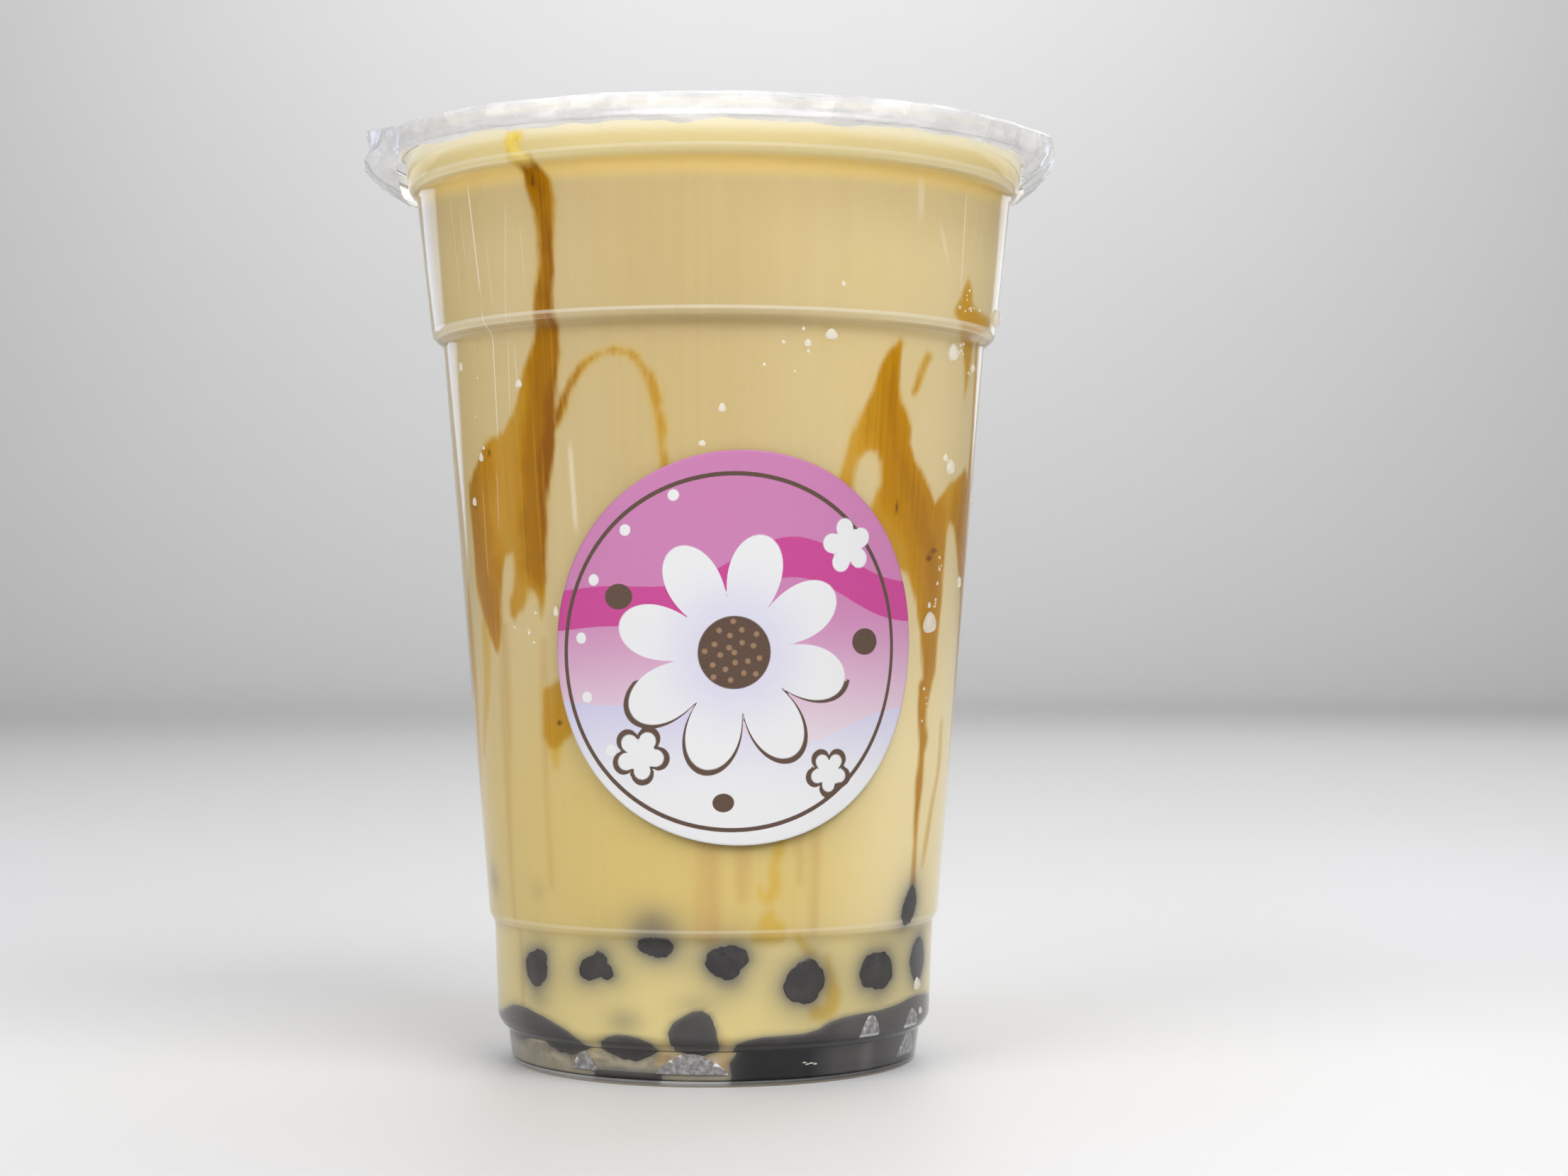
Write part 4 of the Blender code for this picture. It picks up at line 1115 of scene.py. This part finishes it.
def make_bed(material):
    """The dark mass in the foot: it meets the wall inside bed_touch's outline and sinks in outside it."""
    side = spaced(rounded(mitred(wall_corners(), WALL), CORNER), 0.3)
    side = side[(side[:, 1] < BED_ROUND_TOP) & (side[:, 0] > 2.0)]
    azimuth = azimuths(BED_COLUMNS)[None, :]
    radius, height = side[:, :1], side[:, 1:]
    touch = bed_touch(azimuth, height, radius)
    sunk = np.clip(-touch * BED_SLOPE, 0, BED_DEEPEST)
    proud = np.where(touch > 0, BED_PROUD, 0.0)
    upright = height > 1.9
    under = np.clip(-bed_touch(azimuth, 1.0, 28.0) * BED_SLOPE, 0, BED_DEEPEST)
    pressed = INTO_WALL - sunk + proud * np.clip(touch / 0.2, 0, 1)
    reach = radius + np.where(upright, pressed, PEARL_INTO_WALL - under)
    lift = np.where(upright, 0.0, 0.6 * under - PEARL_INTO_WALL)
    points = polar(reach, azimuth, height + lift)
    share = np.linspace(0.93, 0.06, 12)[:, None]
    waves = 0.8 * np.sin(np.radians(azimuth * 9)) * share
    crown = polar(reach[-1:] * share, azimuth, BED_MIDDLE + (BED_ROUND_TOP - BED_MIDDLE) * share**2 + waves)
    turns, greys = np.array(BED_GREYS).T
    smear = np.interp(turn_between(azimuth, 0.0), turns, greys)
    smear = np.where(height > 5.4, np.clip(smear, 0.25, 0.5), smear)
    smear = np.vstack([np.broadcast_to(smear, touch.shape), np.zeros(crown.shape[:2])])
    fields = {"touch": np.vstack([touch, np.ones(crown.shape[:2])]), "smear": smear}
    piece = add_piece("dark_bed", np.vstack([points, crown]), material, fields=fields,
                      start=(0, 0, points[0, 0, 2]), end=(0, 0, BED_MIDDLE))
    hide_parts("pearl_bed")
    return piece, "tapioca"


def make_foot_ring(material):
    """Painted light in the foot's standing ring: a flat band inside its plastic, pale or dark by azimuth,
    that stands for the light seen through the ring.
    """
    outline = np.array(((26.2, 0.80), (26.2, 0.16), (27.5, 0.16), (27.85, 0.30), (27.9, 0.55), (27.9, 0.80)))
    turns, greys = np.array(RING_LIGHT_GREYS).T
    tone = np.interp(azimuths(BED_COLUMNS)[None, :], turns, greys)
    piece = add_piece("foot_ring", turned(outline, BED_COLUMNS), material, ring=True, fields={"tone": tone})
    return piece, "clear_cup"


def make_bubble(number, bubble, material):
    """An arch of air: a thin pad on the wall whose width shrinks to nothing at its round top."""
    turn, base, half, tall = bubble
    rise = np.linspace(0, 1, 26)[:, None]
    side = np.linspace(-1, 1, 31)[None, :]
    width = half * (0.86 + 0.14 * np.cos(rise * 3.1)) * np.sqrt(np.clip(1 - rise**2.6, 0, 1))
    width = np.maximum(width, 0.02)
    height = base + 0.25 + rise * tall
    swell = np.clip(1 - side**2, 0, 1) ** 0.5 * np.clip(1 - rise**6, 0, 1) ** 0.5
    inner = wall_radius(height, WALL)
    azimuth = turn + np.degrees(width * side / inner)
    front = polar(inner + BED_PROUD + 0.12 + 0.10 * swell, azimuth, height)
    back = polar(inner - 0.25, azimuth, height)
    points = np.concatenate([front, back[:, ::-1]], axis=1)
    rim = np.abs(np.concatenate([side, side[:, ::-1]], axis=1)) * np.ones_like(rise)
    ends = [points[0].mean(0), points[-1].mean(0)]
    piece = add_piece(f"caught_air_{number}", points, material, start=ends[0], end=ends[1],
                      fields={"rise": np.broadcast_to(rise, rim.shape), "rim": 1 - rim})
    return piece, "clear_cup"


def make_drops(material):
    """All water drops in one piece: domes on the outside of the wall, each on a flat back.

    A dome's rise is the root of one less its spread squared. Each drop is a grid of the same size
    that closes in a pole at both ends, so all have one drop's faces with the indices moved on.
    """
    draw = np.random.default_rng(3)
    tiny = [(turn + draw.normal() * across / 2, middle + draw.normal() * up / 2, size, size)
            for turn, middle, across, up, count in SPRAYS for size in draw.uniform(0.12, 0.28, count)]
    turn, middle, half_across, half_up = np.array([*DROPS, *tiny]).T[:, :, None, None]
    spread = np.linspace(0.02, 1, 8)[None, :, None]
    angle = -2 * np.pi * np.arange(16)[None, None, :] / 16
    height = middle + half_up * spread * np.sin(angle) * (1 + 0.18 * np.sin(angle))
    across = half_across * spread * np.cos(angle) * (1 - 0.22 * np.sin(angle))
    outside = wall_radius(height)
    thick = 0.55 * np.minimum(half_across, half_up) * np.sqrt(np.clip(1 - spread**2, 0, 1))
    dome = polar(outside + 0.01 + thick, turn + np.degrees(across / outside), height)
    centre = dome[:, -1:].mean(2, keepdims=True)
    outward = centre * np.array((1, 1, 0))
    back = dome[:, -1:] - 0.03 * outward / np.linalg.norm(outward, axis=-1, keepdims=True)
    grids = np.concatenate([dome, back, (back + back.mean(2, keepdims=True)) / 2], axis=1)
    count, rows, columns = grids.shape[:3]
    poles = np.stack([dome[:, 0].mean(1), back[:, 0].mean(1)], axis=1)
    vertices = np.concatenate([grids.reshape(count, -1, 3), poles], axis=1)
    index = np.arange(rows * columns).reshape(rows, columns)
    ahead = np.roll(index, -1, axis=1)
    first, last = np.full(columns, rows * columns), np.full(columns, rows * columns + 1)
    shapes = (np.stack([index[:-1], ahead[:-1], ahead[1:], index[1:]], -1).reshape(-1, 4),
              np.stack([first, ahead[0], index[0]], -1), np.stack([index[-1], ahead[-1], last], -1))
    step = vertices.shape[1] * np.arange(count)[:, None, None]
    faces = [face for shape in shapes for face in (shape + step).reshape(-1, shape.shape[1]).tolist()]
    return add_mesh("water_drops", vertices.reshape(-1, 3), faces, material), "clear_cup"


def daisy(across, up, petals, length, middle_radius, turn=0.0):
    """Signed distance, roughly in mm, to a flower: its radius swings with the angle."""
    distance, angle = np.hypot(across, up), np.arctan2(up, across) + turn
    edge = middle_radius + (length - middle_radius) * np.abs(np.cos(petals * angle / 2)) ** 0.55
    return (distance - edge) * 0.7


def sticker_fields(across, up):
    """The print: distances in mm to each shape's edge, negative inside."""
    wave = 3.2 * np.sin(across / 8.5 + 0.7) + 1.1 * np.sin(across / 3.9)
    heart_across, heart_up = across + 1.0, up + 0.5
    from_heart = np.hypot(heart_across, heart_up)
    petals = daisy(heart_across, heart_up, 8, 15.5, 6.5, 0.25)
    for turn, away, size in ((0.75, 19.5, 3.6), (3.95, 19.0, 3.2), (5.35, 20.0, 2.6)):
        small = daisy(across - away * math.cos(turn), up - away * math.sin(turn), 5, size, size * 0.45, turn)
        petals = np.minimum(petals, small)
    seeds = np.full(np.broadcast(across, up).shape, 9.0)
    for number in range(21):
        reach, angle = 0.92 * math.sqrt(number), 2.39996 * number
        gap = np.hypot(heart_across - reach * math.cos(angle), heart_up - reach * math.sin(angle)) - 0.36
        seeds = np.minimum(seeds, gap)
    dots = np.full(seeds.shape, 9.0)
    for number in range(9):
        angle = 2.0 + 0.36 * number
        dots = np.minimum(dots, np.hypot(across - 21.6 * math.cos(angle), up - 21.6 * math.sin(angle)) - 0.75)
    outline = petals - 0.55
    rings = np.minimum(np.where(up < -4.0, outline, 9.0), np.abs(from_heart - 22.9) - 0.28)
    for turn, away, size in ((2.75, 17.5, 1.9), (0.05, 17.2, 2.0), (4.6, 20.0, 1.4)):
        bean = np.hypot(across - away * math.cos(turn), (up - away * math.sin(turn)) * 1.15) - size
        rings = np.minimum(rings, bean)
    return {"rings": rings, "print_up": up + 0 * across, "wave_high": np.abs(up - 7.5 - wave) - 2.6,
            "wave_low": up + 9.0 + wave * 0.8, "petals": petals, "from_heart": from_heart,
            "heart": from_heart - 4.7, "seeds": seeds, "dots": dots}


def make_sticker(material):
    """A thin round sheet wrapped on the taper: rings about its middle, a front, a rim and a back."""
    ring = np.linspace(0.004, 1.0, 96)[:, None] * STICKER_RADIUS
    angle = -2 * np.pi * np.arange(300)[None, :] / 300
    across, up = ring * np.cos(angle), ring * np.sin(angle)
    height = STICKER_HEIGHT + up
    outside = wall_radius(height)
    azimuth = STICKER_AZIMUTH + np.degrees(across / outside)
    lift = STICKER_LIFT + STICKER_THICKNESS
    bend = 0.03 * np.clip(ring / STICKER_RADIUS - 0.985, 0, 1) / 0.015
    front = polar(outside + lift - bend, azimuth, height)
    back = polar(outside + STICKER_LIFT, azimuth, height)[::-8]
    points = np.concatenate([front, back], axis=0)
    fields = {name: np.concatenate([values, values[::-8]], axis=0)
              for name, values in sticker_fields(across, up).items()}
    flat = np.stack([across, up], -1) / (2 * STICKER_RADIUS) + 0.5
    flat = np.concatenate([flat, flat[::-8]], axis=0)
    layout = np.concatenate([flat, flat[:, :1]], axis=1)
    piece = add_piece("sticker", points, material, start=front[0].mean(0), end=back[-1].mean(0),
                      fields=fields, layout=layout)
    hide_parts("label")
    return piece, "sticker"


def triangle(phase):
    """A wave with sharp tops and straight sides, from -1 to 1."""
    return 2.0 * np.abs((phase / np.pi) % 2.0 - 1.0) - 1.0


def film_side(azimuth, which):
    """Radius or height along the film by azimuth: from its front to the flares at both sides and its back."""
    front, left, right = (np.array(profile)[:, which] for profile in (FILM_FRONT, FILM_LEFT, FILM_RIGHT))
    turns = (-180, -125, -100, -77, -62, 0, 60, 76, 98, 128, 180)
    kinds = (front, front, left, left, front, front, front, right, right, front, front)
    run = np.linspace(0, len(front) - 1, FILM_ROWS)
    rows = [np.interp(run, np.arange(len(front)), kind) for kind in kinds]
    return np.stack([np.interp(azimuth, turns, column) for column in np.array(rows).T])


def make_film(hazy, clear):
    """Clear film over the rim: sharp folds of several widths round the skirt, a flare at each side."""
    azimuth = azimuths(FILM_COLUMNS)
    radius, height = film_side(azimuth, 0), film_side(azimuth, 1)
    run = np.linspace(0, 1, FILM_ROWS)[:, None]
    share = np.clip((run - 0.30) / 0.45, 0, 1) ** 1.5
    angle = np.radians(azimuth)[None, :]
    draw = np.random.default_rng(11)
    folds, lifts = np.zeros_like(radius), np.zeros_like(radius)
    for count, strength in ((13, 0.30), (23, 0.26), (41, 0.17), (77, 0.09)):
        bend = angle * count + 1.6 * np.sin(3 * angle + draw.uniform(0, 6)) + draw.uniform(0, 6)
        lean = draw.uniform(-4, 4)
        folds += strength * triangle(bend + run * lean)
        lifts += strength * triangle(bend * 1.07 + 1.0 - run * lean)
    radius = radius + share * folds * 0.55
    height = height + share * lifts * 0.50 + 0.10 * folds * np.clip(run * 4 - 0.6, 0, 1)
    points = polar(radius, azimuth[None, :], height)
    down = np.gradient(height, axis=0)
    out = np.gradient(radius, axis=0)
    length = np.hypot(down, out)
    under = polar(radius + FILM_THICKNESS * down / length, azimuth[None, :],
                  height - FILM_THICKNESS * out / length)
    seal = FILM_SEAL_ROW
    skirt = np.concatenate([under[seal:], points[seal:][::-1]], axis=0)
    middle = np.concatenate([under[:seal + 1], points[:seal + 1][::-1]], axis=0)
    pieces = [add_piece("sealing_film", skirt, hazy, ring=True),
              add_piece("film_middle", middle, clear, start=(0, 0, FILM_FRONT[0][1] - FILM_THICKNESS),
                        end=(0, 0, FILM_FRONT[0][1]))]
    for piece in pieces:
        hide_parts("film")
    return [(piece, "clear_film") for piece in pieces]


# Stage

def make_floor(material):
    """A floor that curves up into a backdrop, far behind the cup."""
    across = np.linspace(-4000, 4000, 9)[None, :]
    turn = np.linspace(0, np.pi / 2, 24)
    along = np.concatenate([[-3500, 0, 1200], 1800 + 900 * np.sin(turn), [2700]])[:, None]
    height = np.concatenate([[0, 0, 0], 900 - 900 * np.cos(turn), [4200]])[:, None]
    points = np.stack(np.broadcast_arrays(across, along, height), -1)
    floor = add_piece("floor", points, material, wrap=False)


def area_lamp(name, size, power):
    lamp = bpy.data.lights.new(name, "AREA")
    lamp.shape = "RECTANGLE"
    lamp.size, lamp.size_y = size
    lamp.energy = power
    item = bpy.data.objects.new(name, lamp)
    item.visible_camera = False
    bpy.context.scene.collection.objects.link(item)
    return item


def make_light(name, azimuth, elevation, distance, size, power, colour=(1.0, 1.0, 1.0), roll=None):
    """A soft lamp aimed at the middle of the cup; one with a roll shows in reflections alone."""
    item = area_lamp(name, size, power)
    item.data.color = colour
    level = distance * math.cos(math.radians(elevation))
    turn = math.radians(azimuth)
    item.location = (level * math.sin(turn), -level * math.cos(turn),
                     CUP_MIDDLE + distance * math.sin(math.radians(elevation)))
    aim = Matrix.Rotation(turn, 3, "Z") @ Matrix.Rotation(math.radians(90.0 - elevation), 3, "X")
    item.rotation_euler = (aim @ Matrix.Rotation(math.radians(roll or 0.0), 3, "Z")).to_euler()
    item.visible_diffuse = roll is None
    item.visible_transmission = roll is None


def make_backdrop_light():
    """A wide lamp behind the cup that lights the backdrop alone."""
    item = area_lamp("backdrop", (1.4, 1.2), 13.0)
    item.data.spread = math.radians(115.0)
    item.location = (0.0, 0.9, 1.5)
    item.rotation_euler = (math.radians(78.0), 0.0, 0.0)


def make_stage():
    make_floor(pale_floor())
    make_light("key", 40, 42, 1.1, (0.8, 0.8), 7.5)
    make_light("fill", -46, 30, 1.2, (0.8, 0.8), 6.4)
    make_light("top", 175, 78, 1.1, (0.9, 0.9), 4.0)
    make_light("behind", 165, 36, 1.3, (0.9, 0.9), 3.0)
    make_light("left_panel", -138.2, 10.2, 0.51, (0.212, 0.120), 0.125, (0.58, 0.72, 1.0), 32.3)
    make_light("right_panel", 152.5, 10.2, 0.51, (0.140, 0.080), 0.040, (0.74, 0.82, 1.0), -30.0)
    make_backdrop_light()
    world = bpy.data.worlds.new("soft_room")
    world.use_nodes = True
    sky = world.node_tree.nodes["Background"]
    sky.inputs[0].default_value = (0.97, 0.98, 1.0, 1.0)
    sky.inputs[1].default_value = 0.13
    bpy.context.scene.world = world
    bpy.context.scene.view_settings.view_transform = "Standard"


def make_camera():
    lens = bpy.data.cameras.new("camera")
    lens.lens = CAMERA_LENS
    lens.sensor_width = 36.0
    lens.clip_start = 0.01
    camera = bpy.data.objects.new("camera", lens)
    camera.location = CAMERA_PLACE
    camera.rotation_euler = (math.radians(90.0 + CAMERA_UP_TILT), 0.0, 0.0)
    bpy.context.scene.collection.objects.link(camera)
    bpy.context.scene.camera = camera


def main():
    make_camera()
    plastic, pearl, air, wet = clear_plastic(), tapioca(), caught_air(), water()
    made = [make_cup(plastic), *make_film(creased_film(), flat_film()), make_drink(milk_tea()),
            make_bed(dark_bed()), make_sticker(sticker_print())]
    made += [make_pearl(node, pearl) for node in PEARLS]
    made += [make_bubble(number, bubble, air) for number, bubble in enumerate(BUBBLES, 1)]
    made.append(make_drops(wet))
    made.append(make_foot_ring(ring_painted_light()))
    for piece, slot in made:
        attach(piece, "root")
    make_stage()


main()
